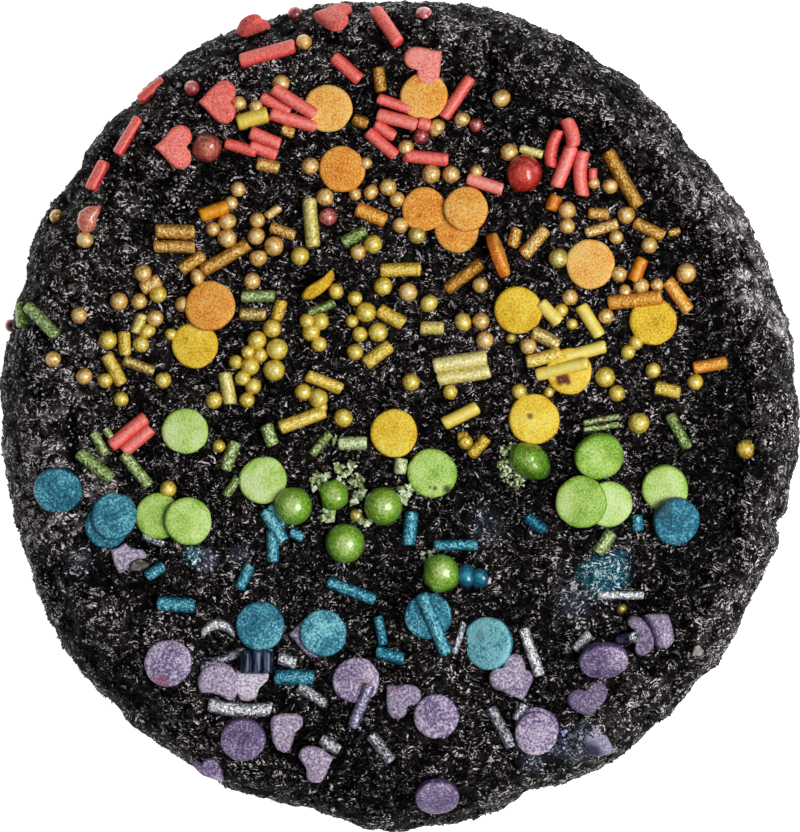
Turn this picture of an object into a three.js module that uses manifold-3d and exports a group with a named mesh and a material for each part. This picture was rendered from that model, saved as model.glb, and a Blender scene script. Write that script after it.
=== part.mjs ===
// Rainbow cookie: a thick, nearly black cocoa cookie with a flat base, a bulging side, an uneven top and a
// rolled lip along one side. Sugar confetti, hearts, rods, pearls and beads lie on it in the order of a
// rainbow, red at +Y and purple at -Y, each sunk a little into the crust and baked fast to it.
//
// Millimetres, +Z up. The origin is the middle of the base.

import * as THREE from 'three';
import { mergeVertices } from 'three/addons/utils/BufferGeometryUtils.js';
import Module from 'manifold-3d';

const wasm = await Module();
wasm.setup();

// ---------------------------------------------------------------- driving dimensions

// The cookie seen from above: heading in degrees and how far the crust reaches that way.
const OUTLINE = [
  [0, 49.9], [31, 49.5], [45, 49.5], [60, 50.9], [74, 51.9], [112, 52.1], [129, 51.3], [148, 50.1],
  [191, 49.5], [214, 50.4], [245, 50.8], [256, 50.5], [269, 51.8], [289, 50.4], [302, 50.6], [309, 49.9],
  [320, 50.4], [332, 49.4], [341, 50.2], [346, 49.4], [360, 49.9],
];
const THICKNESS = 12;        // base to plateau
const WIDEST_HEIGHT = 4.4;   // where the side bulges out to the outline
const BASE_SHARE = 0.93;     // radius of the flat base, as a share of the outline
const SHOULDER_SHARE = 0.12; // width of the rounded shoulder, as a share of the outline

const LIP_HEIGHT = 1.3;      // the rolled lip, which stands along the right of the top view
const LIP_SHARE = 0.925;     // where its crest runs, as a share of the outline
const LIP_WIDTH = 0.04;
const LIP_HEADING = 20;      // degrees, the middle of its stretch
const CREASE_DEPTH = 0.8;    // the fold between lip and plateau
const CREASE_SHARE = 0.855;
const CREASE_WIDTH = 0.025;

const OUTWARD_LIMIT = 0.3;    // how far the relief may push the side out
const LUMPS = [[11, 0.45], [5.3, 0.2]]; // uneven crust: spacing of the lumps, and their height

const SIDES = 60;            // facets round the crust
const SHOULDER_STEPS = 4;
const PLATEAU_RINGS = [[0.84, 42], [0.72, 36], [0.58, 30], [0.44, 24], [0.3, 16], [0.15, 8]]; // share, facets

const CONFETTI_THICKNESS = 1.3;
const HEART_THICKNESS = 1.5;
const HEART_WIDTH = 4.9;
const SUNK = 0.35;           // share of each sprinkle's thickness that lies in the crust

const CONFETTI_SIDES = 10;
const HEART_POINTS = 12;
const ROD_SIDES = 6;
const BEAD_SIDES = 8;
const ROUND_FROM = 1.5;      // radius from which a ball has more facets
const SMALLEST_VOLUME = 4.5; // cubic millimetres; the largest sprinkles come first, and smaller ones are left out

// Places are read off the top view, where a picture pixel is 0.125 mm and y runs down.
const MM_PER_PIXEL = 0.125;
const MIDDLE_X = 399;
const MIDDLE_Y = 415;

// ---------------------------------------------------------------- where the sprinkles lie

// Round confetti: x, y, radius, then how far it leans in degrees, the heading of its raised edge, its lift.
const CONFETTI = [
  // orange
  [328, 108, 3], [424, 96, 3], [342, 169, 2.9], [424, 209, 2.8], [457, 230, 2.8], [466, 209, 2.8, 8, 270, 0.9],
  [210, 306, 3.1, 12, 270, 0.7], [590, 264, 3.1], [498, 255, 2.8, 72, 199, 0.8],
  // yellow
  [195, 345, 2.9], [518, 310, 3], [653, 321, 3], [569, 375, 3], [394, 433, 3], [534, 419, 3.2],
  [319, 286, 2.6, 60, 129, 0.6],
  // green
  [185, 431, 2.9], [263, 480, 3], [432, 473, 3.1], [158, 516, 2.9], [188, 521, 3, 8, 180, 0.8],
  [599, 456, 3.1, 32, 110, 0.6], [609, 504, 2.9], [581, 502, 3.2, 8, 0, 0.8], [665, 488, 2.9, 12, 90, 0.3],
  // blue
  [58, 490, 3, 20, 90, 0.2], [107, 526, 2.8], [114, 516, 2.9, 8, 240, 0.8], [676, 521, 3, 18, 135, 0.9],
  [260, 626, 3.05], [323, 633, 2.9, 8, 200, 0.6], [428, 616, 2.95], [488, 643, 3.2, 25, 0, 0.3],
  // purple
  [168, 663, 2.95], [356, 680, 2.9], [243, 739, 2.8, 20, 90, 0.2], [436, 716, 2.8], [437, 797, 2.8],
  [537, 729, 2.7], [536, 733, 2.7, 4, 90, 0.9], [603, 660, 3, 42, 90, 0.6], [598, 741, 2.2],
];

// Hearts: x, y, heading of the tip, then lean, heading of the raised edge and lift as above.
const HEARTS = [
  // red
  [332, 17, 175], [217, 102, 180], [173, 147, 180], [250, 30, 180], [427, 62, 37, 0, 0, 0.8],
  // purple
  [128, 558, 200], [218, 681, 200], [250, 683, 300, 10, 90, 0.3], [304, 640, 157], [287, 733, 265],
  [317, 764, 270], [399, 697, 135], [522, 690, 260], [511, 677, 315, 10, 270, 0.6], [590, 702, 285],
  [638, 636, 200, 55, 20, 0.4], [657, 631, 180, 35, 0, 0.4],
];

// Glossy beads: x, y, radius.
const BEADS = [
  [207, 148, 1.85], [524, 173, 2.35], [88, 217, 1.6], [293, 506, 2.4], [383, 506, 2.4], [345, 543, 2.5],
  [334, 494, 1.8], [534, 460, 2.2], [512, 449, 1.25], [441, 574, 2.4], [467, 576, 1.3], [480, 577, 1.05],
];

// Rods: the two ends, the thickness, then the lift of each end.
const RODS = [
  // red
  [240, 61, 295, 46, 1.9], [376, 8, 398, 47, 1.8], [333, 56, 360, 80, 1.8], [143, 98, 162, 80, 1.5],
  [138, 117, 118, 155, 1.5], [104, 161, 91, 190, 1.6], [261, 96, 290, 112, 1.5], [270, 113, 316, 127, 1.7],
  [273, 88, 315, 115, 1.7, 1, 1], [225, 143, 256, 152, 1.5], [249, 145, 277, 155, 1.6],
  [250, 132, 280, 145, 1.7, 0.6, 0.6], [377, 98, 411, 109, 1.5], [367, 131, 396, 156, 1.6],
  [377, 114, 417, 125, 1.8, 0.6, 0.6], [418, 122, 430, 126, 1.6], [405, 155, 448, 160, 1.7],
  [471, 77, 443, 118, 1.7], [467, 178, 503, 190, 1.7], [567, 121, 571, 145, 1.9, 0.8, 0.8],
  [553, 133, 554, 165, 1.5], [572, 146, 556, 187, 1.8], [583, 153, 584, 195, 1.8], [593, 168, 593, 182, 1.2],
  [111, 444, 146, 416, 1.7], [128, 450, 151, 428, 1.8],
  // orange and gold
  [378, 67, 381, 92, 1.6], [353, 119, 368, 124, 1.6], [238, 121, 263, 115, 1.9], [256, 163, 279, 168, 1.7],
  [520, 148, 543, 155, 1.2], [607, 151, 638, 207, 1.9], [557, 196, 550, 209, 1.7], [155, 231, 195, 232, 1.8],
  [153, 246, 195, 247, 1.7], [201, 216, 226, 206, 1.8], [180, 270, 204, 254, 1.7], [202, 271, 248, 244, 1.8],
  [141, 289, 160, 279, 1.7], [270, 226, 295, 236, 1.5], [356, 208, 386, 221, 1.8], [517, 228, 512, 247, 1.5],
  [546, 228, 523, 256, 1.7], [482, 262, 446, 290, 1.7], [588, 213, 609, 214, 1.5], [585, 233, 618, 223, 1.5],
  [634, 222, 664, 236, 1.7], [643, 260, 633, 280, 1.7], [608, 303, 662, 297, 1.8, 0, 0.9],
  [667, 280, 689, 311, 1.8], [693, 368, 727, 362, 1.6],
  // yellow
  [309, 198, 313, 247, 1.9], [380, 270, 421, 269, 1.8], [135, 333, 143, 314, 1.5], [124, 331, 125, 355, 1.6],
  [106, 354, 122, 384, 1.8], [123, 360, 154, 371, 1.4], [224, 372, 231, 404, 1.8], [378, 309, 404, 324, 1.9],
  [365, 364, 391, 345, 1.9], [239, 314, 266, 314, 1.7], [282, 300, 276, 320, 1.6], [306, 375, 342, 389, 1.7],
  [420, 328, 444, 328, 1.8], [541, 305, 558, 322, 1.8], [580, 305, 600, 336, 1.8], [532, 331, 559, 345, 1.7],
  [526, 362, 561, 353, 1.8], [564, 357, 606, 346, 1.7], [537, 375, 590, 363, 1.7, 0, 1],
  [433, 366, 487, 357, 2], [437, 379, 490, 371, 1.9], [655, 387, 680, 393, 1.8], [279, 428, 325, 411, 1.8],
  [445, 424, 476, 408, 1.8], [470, 456, 487, 437, 1.5],
  // green
  [16, 303, 25, 326, 1.8], [25, 306, 57, 335, 1.7], [342, 243, 366, 230, 1.7], [241, 296, 275, 296, 1.5],
  [78, 452, 112, 479, 1.8], [93, 432, 106, 455, 1.4], [123, 453, 149, 486, 1.6], [266, 424, 273, 446, 1.8],
  [236, 441, 225, 470, 1.7], [238, 478, 225, 496, 1.3], [338, 443, 367, 443, 1.7], [401, 458, 400, 474, 1.8],
  [583, 426, 620, 420, 1.5], [669, 414, 688, 448, 1.6], [612, 532, 597, 553, 1.8],
  // blue
  [146, 577, 164, 565, 1.6], [159, 603, 194, 604, 1.8], [264, 510, 284, 541, 1.7], [272, 530, 273, 562, 1.6],
  [290, 531, 303, 538, 1.4], [250, 565, 239, 589, 1.5], [327, 581, 375, 600, 1.6], [412, 511, 408, 545, 1.8],
  [528, 517, 543, 530, 1.6], [434, 545, 478, 545, 1.4], [637, 517, 638, 530, 1.4], [377, 616, 383, 645, 1.3],
  [377, 652, 403, 658, 1.6], [275, 677, 313, 677, 1.9], [424, 597, 446, 653, 1.7, 1, 0],
  [246, 651, 246, 673, 1.3], [257, 651, 257, 673, 1.3], [268, 651, 268, 673, 1.3],
  // purple and silver
  [600, 594, 643, 594, 1.1], [201, 636, 234, 633, 1.5], [201, 664, 245, 651, 1.3], [278, 657, 296, 664, 1.5],
  [298, 687, 325, 705, 1.5], [209, 706, 272, 710, 1.8], [321, 738, 339, 751, 1.5], [372, 732, 390, 760, 1.6],
  [464, 622, 453, 654, 1.1], [522, 628, 541, 677, 1.5], [525, 704, 515, 720, 1.3], [490, 707, 512, 747, 1.6],
  [588, 633, 575, 649, 1.2], [369, 685, 352, 726, 1.5, 1, 0],
];

// Pearls: x, y, radius.
const PEARLS = [
  // red
  [192, 88, 1.05], [424, 13, 1.05], [328, 217, 1.15],
  // gold
  [304, 42, 1.05], [281, 83, 1.15], [310, 166, 1.15], [325, 197, 1.15], [388, 187, 1.15], [501, 98, 1.15],
  [431, 174, 1.2], [451, 174, 1.15], [509, 152, 1.15], [85, 240, 1.05], [143, 273, 1.15], [119, 301, 1.2],
  [155, 318, 1.05], [84, 376, 1.05], [227, 221, 1.15], [227, 238, 1.25], [256, 236, 1.15], [274, 246, 1.25],
  [259, 257, 1.05], [400, 225, 1.05], [408, 292, 1.2], [378, 332, 1.25], [567, 210, 1.15], [481, 321, 1.15],
  [485, 340, 1.15], [570, 297, 1.05], [528, 346, 1.05], [626, 215, 1.15], [649, 245, 1.05], [686, 273, 1.3],
  // yellow
  [158, 294, 1.15], [108, 340, 1.2], [141, 344, 1.05], [163, 380, 1.05], [373, 244, 1.2], [300, 256, 1.2],
  [320, 321, 1.15], [311, 332, 1.15], [383, 286, 1.2], [366, 312, 1.3], [360, 334, 1.05], [272, 328, 1.2],
  [257, 340, 1.25], [277, 349, 1.4], [274, 370, 1.4], [250, 366, 1.2], [253, 386, 1.05], [214, 400, 1.15],
  [411, 382, 1.15], [417, 235, 1.15], [429, 303, 1.15], [463, 322, 1.15], [558, 258, 1.25], [605, 377, 1.3],
  [617, 393, 1.05], [343, 418, 1.2], [168, 489, 1.05], [639, 423, 1.4], [746, 449, 1.25], [303, 394, 1.2],
];

// ---------------------------------------------------------------- the crust's shape, as formulas

const radians = THREE.MathUtils.degToRad;
const { clamp, lerp } = THREE.MathUtils;
const eased = (t) => t * t * (3 - 2 * t);

// How far the crust reaches in a heading: the outline's points, eased into each other.
function reach(heading) {
  const degrees = (THREE.MathUtils.radToDeg(heading) + 360) % 360;
  const next = OUTLINE.findIndex(([mark]) => mark > degrees);
  const [[fromMark, from], [toMark, to]] = [OUTLINE[next - 1], OUTLINE[next]];
  return lerp(from, to, eased((degrees - fromMark) / (toMark - fromMark)));
}

// A repeatable draw from 0 to 1 for each point of a lattice, and smooth lumps from -1 to 1 between them.
function draw(i, j) {
  const wave = Math.sin(i * 127.1 + j * 311.7) * 43758.5453;
  return wave - Math.floor(wave);
}

function lump(x, y, spacing) {
  const i = Math.floor(x / spacing);
  const j = Math.floor(y / spacing);
  const s = eased(x / spacing - i);
  const t = eased(y / spacing - j);
  return 2 * lerp(lerp(draw(i, j), draw(i + 1, j), s), lerp(draw(i, j + 1), draw(i + 1, j + 1), s), t) - 1;
}

const ridge = (share, middle, width) => Math.exp(-(((share - middle) / width) ** 2));

// How far the crust stands out from its plain form: lip, crease and lumps.
function relief(x, y, z) {
  const heading = Math.atan2(y, x);
  const share = Math.hypot(x, y) / reach(heading);
  const along = clamp((Math.cos(heading - radians(LIP_HEADING)) + 0.15) / 0.75, 0, 1);
  const lip = LIP_HEIGHT * ridge(share, LIP_SHARE, LIP_WIDTH) - CREASE_DEPTH * ridge(share, CREASE_SHARE, CREASE_WIDTH);
  const lumps = LUMPS.reduce((sum, [spacing, height]) => sum + height * lump(x + 0.6 * z, y - 0.8 * z, spacing), 0);
  return eased(along) * lip + lumps;
}

// Height of the crust's top at a place.
function crustHeight(x, y) {
  const share = Math.min(1, Math.hypot(x, y) / reach(Math.atan2(y, x)));
  const across = clamp((1 - share) / SHOULDER_SHARE, 0, 1);
  const up = Math.sqrt(1 - (1 - across) ** 2);
  const plain = lerp(WIDEST_HEIGHT, THICKNESS, up);
  return plain + up * relief(x, y, plain);
}

// ---------------------------------------------------------------- solids

function solidOf(geometry) {
  geometry.deleteAttribute('normal');
  geometry.deleteAttribute('uv');
  const merged = mergeVertices(geometry, 1e-4);
  const mesh = new wasm.Mesh({
    numProp: 3,
    vertProperties: new Float32Array(merged.attributes.position.array),
    triVerts: new Uint32Array(merged.index.array),
  });
  return new wasm.Manifold(mesh);
}

// The crust: rings from the middle of the base, round the bulging side and in over the plateau. Each ring has
// its share of the outline, its height, its facets and the way out, and the relief pushes its points that way.
function crust() {
  const tuck = radians(40);
  const rings = [
    { share: 0, height: 0, facets: 1, out: [0, 0] },
    { share: BASE_SHARE, height: 0, facets: SIDES, out: [0, 0] },
    {
      share: 1 - (1 - BASE_SHARE) * (1 - Math.cos(tuck)),
      height: WIDEST_HEIGHT * (1 - Math.sin(tuck)),
      facets: SIDES,
      out: [Math.cos(tuck), 0],
    },
  ];
  for (let step = 0; step <= SHOULDER_STEPS; step++) {
    const turn = (step / SHOULDER_STEPS) * Math.PI / 2;
    rings.push({
      share: 1 - SHOULDER_SHARE * (1 - Math.cos(turn)),
      height: lerp(WIDEST_HEIGHT, THICKNESS, Math.sin(turn)),
      facets: SIDES,
      out: [Math.cos(turn), Math.sin(turn)],
    });
  }
  for (const [share, facets] of PLATEAU_RINGS) rings.push({ share, height: THICKNESS, facets, out: [0, 1] });
  rings.push({ share: 0, height: THICKNESS, facets: 1, out: [0, 1] });

  const points = [];
  const corners = [];
  let before = null;
  for (const ring of rings) {
    const first = points.length / 3;
    for (let facet = 0; facet < ring.facets; facet++) {
      const heading = (facet / ring.facets) * 2 * Math.PI;
      const plain = ring.share * reach(heading);
      const push = relief(plain * Math.cos(heading), plain * Math.sin(heading), ring.height);
      const radius = plain + ring.out[0] * Math.min(push, OUTWARD_LIMIT);
      points.push(radius * Math.cos(heading), radius * Math.sin(heading), ring.height + ring.out[1] * push);
    }
    if (before) corners.push(...band(before, { first, facets: ring.facets }));
    before = { first, facets: ring.facets };
  }
  const geometry = new THREE.BufferGeometry();
  geometry.setAttribute('position', new THREE.Float32BufferAttribute(points, 3));
  geometry.setIndex(corners);
  return solidOf(geometry);
}

// Triangles between two rings of any number of points: each step goes on to the nearer next point.
function band(lower, upper) {
  const triangles = [];
  const at = (ring, step) => ring.first + (step % ring.facets);
  const last = (ring) => (ring.facets > 1 ? ring.facets : 0);
  let a = 0;
  let b = 0;
  while (a < last(lower) || b < last(upper)) {
    const lowerNext = a < last(lower) ? (a + 1) / lower.facets : Infinity;
    const upperNext = b < last(upper) ? (b + 1) / upper.facets : Infinity;
    if (lowerNext <= upperNext) {
      triangles.push(at(lower, a), at(lower, a + 1), at(upper, b));
      a += 1;
    } else {
      triangles.push(at(lower, a), at(upper, b + 1), at(upper, b));
      b += 1;
    }
  }
  return triangles;
}

// Lays a sprinkle, made flat with its middle at the origin, on the crust: leaning, raised, and square to the
// slope there, with a share of its thickness sunk in.
function lay(geometry, x, y, thickness, lean = 0, raised = 0, lift = 0) {
  const reachAround = 1.5;
  const rise = (dx, dy) => crustHeight(x + dx, y + dy) - crustHeight(x - dx, y - dy);
  const normal = new THREE.Vector3(-rise(reachAround, 0), -rise(0, reachAround), 2 * reachAround).normalize();
  const slope = new THREE.Quaternion().setFromUnitVectors(new THREE.Vector3(0, 0, 1), normal);
  const axis = new THREE.Vector3(Math.sin(radians(raised)), -Math.cos(radians(raised)), 0);
  const tilt = new THREE.Quaternion().setFromAxisAngle(axis, radians(lean));
  geometry.applyQuaternion(slope.multiply(tilt));
  geometry.translate(x, y, crustHeight(x, y) + thickness * (0.5 - SUNK) + lift);
  return solidOf(geometry);
}

const across = (pixelX) => (pixelX - MIDDLE_X) * MM_PER_PIXEL;
const up = (pixelY) => (MIDDLE_Y - pixelY) * MM_PER_PIXEL;

function confetti([x, y, radius, lean, raised, lift]) {
  const disc = new THREE.CylinderGeometry(radius, radius, CONFETTI_THICKNESS, CONFETTI_SIDES);
  disc.rotateX(Math.PI / 2);
  return lay(disc, across(x), up(y), CONFETTI_THICKNESS, lean, raised, lift);
}

// A heart curve with its tip along +X, extruded to the heart's thickness.
function heart([x, y, tip, lean, raised, lift]) {
  const outline = Array.from({ length: HEART_POINTS }, (_, step) => {
    const t = ((step + 0.5) / HEART_POINTS) * 2 * Math.PI;
    const broad = 16 * Math.sin(t) ** 3;
    const long = 13 * Math.cos(t) - 5 * Math.cos(2 * t) - 2 * Math.cos(3 * t) - Math.cos(4 * t);
    return new THREE.Vector2(-long, broad).multiplyScalar(HEART_WIDTH / 32);
  });
  const body = new THREE.ExtrudeGeometry(new THREE.Shape(outline), { depth: HEART_THICKNESS, bevelEnabled: false });
  body.translate(0, 0, -HEART_THICKNESS / 2);
  body.rotateZ(radians(tip));
  return lay(body, across(x), up(y), HEART_THICKNESS, lean, raised, lift);
}

function rod([x1, y1, x2, y2, thickness, lift1 = 0, lift2 = 0]) {
  const run = new THREE.Vector3(across(x2) - across(x1), up(y2) - up(y1), lift2 - lift1);
  const length = run.length();
  const body = new THREE.CylinderGeometry(thickness / 2, thickness / 2, length, ROD_SIDES);
  body.applyQuaternion(new THREE.Quaternion().setFromUnitVectors(new THREE.Vector3(0, 1, 0), run.normalize()));
  return lay(body, across((x1 + x2) / 2), up((y1 + y2) / 2), thickness, 0, 0, (lift1 + lift2) / 2);
}

function ball([x, y, radius]) {
  const round = radius > ROUND_FROM
    ? new THREE.SphereGeometry(radius, BEAD_SIDES, BEAD_SIDES / 2 + 1)
    : new THREE.IcosahedronGeometry(radius);
  return lay(round.rotateX(Math.PI / 2), across(x), up(y), 2 * radius);
}

// ---------------------------------------------------------------- the cookie

const sprinkles = [
  ...CONFETTI.map(confetti),
  ...HEARTS.map(heart),
  ...BEADS.map(ball),
  ...RODS.map(rod),
  ...PEARLS.map(ball),
].filter((sprinkle) => sprinkle.volume() >= SMALLEST_VOLUME);
const baked = wasm.Manifold.union([crust(), ...sprinkles]);
const whole = baked.decompose().reduce((most, piece) => (piece.volume() > most.volume() ? piece : most));

const { vertProperties, triVerts } = whole.getMesh();
const shape = new THREE.BufferGeometry();
shape.setAttribute('position', new THREE.BufferAttribute(new Float32Array(vertProperties), 3));
shape.setIndex(new THREE.BufferAttribute(new Uint32Array(triVerts), 1));
shape.computeBoundingBox();
const middle = shape.boundingBox.getCenter(new THREE.Vector3());
shape.translate(-middle.x, -middle.y, 0);
shape.computeVertexNormals();

const cookie = new THREE.Mesh(shape, new THREE.MeshStandardMaterial({ color: 0x1b1413, roughness: 0.75 }));
cookie.name = 'cookie';

const group = new THREE.Group();
group.add(cookie);

export default group;
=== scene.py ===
import itertools
import math

import bpy
import numpy as np
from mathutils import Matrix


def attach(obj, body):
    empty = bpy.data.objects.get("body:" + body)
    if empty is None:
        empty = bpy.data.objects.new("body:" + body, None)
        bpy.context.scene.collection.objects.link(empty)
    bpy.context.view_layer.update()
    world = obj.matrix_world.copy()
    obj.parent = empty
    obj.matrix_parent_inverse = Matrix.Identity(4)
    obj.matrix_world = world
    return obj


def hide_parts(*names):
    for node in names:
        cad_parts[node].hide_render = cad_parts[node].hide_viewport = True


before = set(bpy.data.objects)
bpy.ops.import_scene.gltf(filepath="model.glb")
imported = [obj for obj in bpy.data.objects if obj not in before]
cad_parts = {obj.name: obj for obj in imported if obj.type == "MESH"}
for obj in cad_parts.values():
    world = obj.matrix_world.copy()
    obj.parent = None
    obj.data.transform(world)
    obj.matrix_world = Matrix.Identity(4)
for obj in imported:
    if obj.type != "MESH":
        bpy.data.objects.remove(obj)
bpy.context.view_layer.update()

# ----------------------------------------------------------------------------------------------- the studio
# A white table, a camera straight above it, one softbox to the right of the camera and slightly to the
# cookie's purple side, and a dim one overhead. Lamps and camera are in metres, the cookie in millimetres.

MM = 0.001
VIEW_WIDTH = 0.100           # what the picture is wide, at the height of the cookie's top
CAMERA_X, CAMERA_Y = -0.000185, -0.000125
CAMERA_HEIGHT = 2.4
CAMERA_SEES = 10             # how far
COOKIE_TOP = 0.012
SENSOR = 36                  # of the picture's long side, in mm as lens makers give it
LONG_BY_SHORT = 832 / 800
KEY_PLACE, KEY_WIDTH, KEY_RADIANCE = (0.373, -0.079, 0.587), 0.46, 9.0
TOP_PLACE, TOP_WIDTH, TOP_RADIANCE = (-0.22, 0.12, 0.80), 0.80, 0.35
ROOM_RADIANCE = 0.06
TABLE_HALF, TABLE_DROP = 3, 1e-4
TABLE_WHITE, TABLE_ROUGHNESS = (0.86, 0.86, 0.86), 0.9

camera_data = bpy.data.cameras.new("camera")
camera_data.sensor_width = SENSOR
camera_data.lens = SENSOR * (CAMERA_HEIGHT - COOKIE_TOP) / (VIEW_WIDTH * LONG_BY_SHORT)
camera_data.clip_end = CAMERA_SEES
camera = bpy.data.objects.new("camera", camera_data)
camera.location = (CAMERA_X, CAMERA_Y, CAMERA_HEIGHT)
bpy.context.scene.collection.objects.link(camera)
bpy.context.scene.camera = camera
bpy.context.scene.view_settings.view_transform = "Standard"


def softbox(name, place, width, radiance):
    """A round lamp at a place, facing the cookie. Its power is pi squared times its radius squared times its
    radiance."""
    data = bpy.data.lights.new(name, "AREA")
    data.shape = "DISK"
    data.size = width
    data.energy = radiance * math.pi * math.pi * (width / 2) ** 2
    lamp = bpy.data.objects.new(name, data)
    lamp.location = place
    away = lamp.location.normalized()
    lamp.rotation_euler = away.to_track_quat("Z", "Y").to_euler()
    lamp.visible_camera = False
    bpy.context.scene.collection.objects.link(lamp)


softbox("key_light", KEY_PLACE, KEY_WIDTH, KEY_RADIANCE)
softbox("top_light", TOP_PLACE, TOP_WIDTH, TOP_RADIANCE)

world = bpy.data.worlds.new("room")
bpy.context.scene.world = world
world.use_nodes = True
background = world.node_tree.nodes["Background"].inputs
background["Color"].default_value = (1, 1, 1, 1)
background["Strength"].default_value = ROOM_RADIANCE


def material(name, colour=(0.8, 0.8, 0.8), roughness=0.5, **sockets):
    """A named Principled surface of one colour and roughness, with any of its other sockets set by name."""
    made = bpy.data.materials.new(name)
    made.use_nodes = True
    surface = made.node_tree.nodes["Principled BSDF"].inputs
    surface["Base Color"].default_value = (*colour, 1)
    surface["Roughness"].default_value = roughness
    for socket, value in sockets.items():
        surface[socket.replace("_", " ")].default_value = value
    return made


table_top = material(
    "white_table", TABLE_WHITE, TABLE_ROUGHNESS, Emission_Color=(1, 1, 1, 1), Emission_Strength=1.0)
table_mesh = bpy.data.meshes.new("table")
table_corners = [
    (TABLE_HALF * x, TABLE_HALF * y, -TABLE_DROP) for x, y in ((-1, -1), (1, -1), (1, 1), (-1, 1))]
table_mesh.from_pydata(table_corners, [], [(0, 1, 2, 3)])
table_mesh.materials.append(table_top)
table = bpy.data.objects.new("table", table_mesh)
bpy.context.scene.collection.objects.link(table)

# ------------------------------------------------------------------------------------------------ the crust
# Baked cocoa dough, nearly black: one thick round cookie with a flat base, a bulging side and a lip rolled
# over along the right. Its skin has cracked into cobbles, coarse on the rim and fine on the plateau.

OUTLINE = np.array([         # heading in degrees, and how far the crust reaches that way
    (0, 49.9), (31, 49.5), (45, 49.5), (60, 50.9), (74, 51.9), (112, 52.1), (129, 51.3), (148, 50.1),
    (191, 49.5), (214, 50.4), (245, 50.8), (256, 50.5), (269, 51.8), (289, 50.4), (302, 50.6),
    (309, 49.9), (320, 50.4), (332, 49.4), (341, 50.2), (346, 49.4), (360, 49.9),
])
FRAME_SHIFT = np.array([-0.31, -0.02, 0])  # from where the headings start to the frame's origin
THICKNESS = 12.0
WIDEST_HEIGHT = 4.4
BASE_SHARE = 0.93
SHOULDER_SHARE = 0.12
LIP_HEIGHT, LIP_SHARE, LIP_WIDTH, LIP_HEADING = 1.3, 0.925, 0.04, 20
LIP_END, LIP_FADE = -0.15, 0.75   # cosine of the turn at its end, and how much more at full height
CREASE_DEPTH, CREASE_SHARE, CREASE_WIDTH = 0.8, 0.855, 0.025
LUMPS = ((11, 0.45), (5.3, 0.2))                           # spacing and height
LUMP_SLANT_X, LUMP_SLANT_Y = 0.6, -0.8                     # how far lumps shift for each mm up the side
COBBLES = ((5.2, 0.15, 1.25), (2.4, 0.28, 0.85), (1.2, 0.26, 0.42))   # spacing, height on plateau and on rim
COBBLE_MIDDLE = 0.62                                       # the mean of the cobbles, which is taken off
COARSE_FROM, COARSE_ON_SIDE = 2, 0.6                       # spacing of coarse ones, their share on the side
RIM_FROM, RIM_TO = 0.82, 0.90                              # shares between which the plateau turns to rim
SWELL_HEIGHT, SWELL_SPACING = 0.55, 4.2                    # lumps of the rim alone
PUSHED_AT_MOST = 0.3                                       # how far out the broad relief takes the side
NOTCH_HEADING, NOTCH_SPAN, NOTCH_DEPTH = -16.0, 1.1, 1.1   # degrees, degrees, mm
NOTCH_POWER = 12             # the higher, the closer the notch stays to the edge
TOP_CELLS = 240
MM_A_PIXEL = 0.125           # places are read off the top view, in picture pixels with y running down
MIDDLE_X, MIDDLE_Y = 399, 415
SIDE_RINGS = 34
BASE_RINGS = [0.75, 0.4]     # shares of the rings on the flat base
DRAW_GAIN = 43758.5453       # this and the next have no pattern of their own, so they scatter the draws
DRAW_WAVES = np.array([[127.1, 269.5, 113.5], [311.7, 183.3, 271.9], [74.7, 246.1, 124.6]])


def eased(t):
    """0 to 1 with a level start and end: 3t squared less 2t cubed."""
    return t * t * (3 - 2 * t)


def blend(a, b, t):
    """From a to b as t goes from 0 to 1: a plus t times their difference."""
    return a + (b - a) * t


def reach(heading):
    """How far the crust reaches in a heading: the outline's points, eased into each other."""
    degrees = np.degrees(heading) % 360
    i = np.clip(np.searchsorted(OUTLINE[:, 0], degrees, side="right") - 1, 0, len(OUTLINE) - 2)
    mark, next_mark = OUTLINE[i, 0], OUTLINE[i + 1, 0]
    return blend(OUTLINE[i, 1], OUTLINE[i + 1, 1], eased((degrees - mark) / (next_mark - mark)))


def draw(i, j):
    """A repeatable draw from 0 to 1 for each point of a flat lattice: what follows a large sine's point."""
    wave = np.sin(i * DRAW_WAVES[0, 0] + j * DRAW_WAVES[1, 0]) * DRAW_GAIN
    return wave - np.floor(wave)


def lump(x, y, spacing):
    """Smooth lumps from -1 to 1: the draws at a lattice's points, eased into each other."""
    i, j = np.floor(x / spacing), np.floor(y / spacing)
    s, t = eased(x / spacing - i), eased(y / spacing - j)
    near, far = blend(draw(i, j), draw(i + 1, j), s), blend(draw(i, j + 1), draw(i + 1, j + 1), s)
    return 2 * blend(near, far, t) - 1


def ridge(share, middle, width):
    """A smooth ridge of height 1: e to the power of less the squared distance from its middle, in widths."""
    return np.exp(-(((share - middle) / width) ** 2))


def along_lip(heading):
    """0 away from the lip and 1 along it: the cosine of the turn from its heading, from its end on."""
    return np.clip((np.cos(heading - math.radians(LIP_HEADING)) - LIP_END) / LIP_FADE, 0, 1)


def relief(x, y, z):
    """How far the crust stands out from its plain form: the lip, the crease inside it, and broad lumps."""
    heading = np.arctan2(y, x)
    share = np.hypot(x, y) / reach(heading)
    crease = CREASE_DEPTH * ridge(share, CREASE_SHARE, CREASE_WIDTH)
    lip = LIP_HEIGHT * ridge(share, LIP_SHARE, LIP_WIDTH) - crease
    x, y = x + LUMP_SLANT_X * z, y + LUMP_SLANT_Y * z
    lumps = sum(height * lump(x, y, spacing) for spacing, height in LUMPS)
    return eased(along_lip(heading)) * lip + lumps


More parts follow.
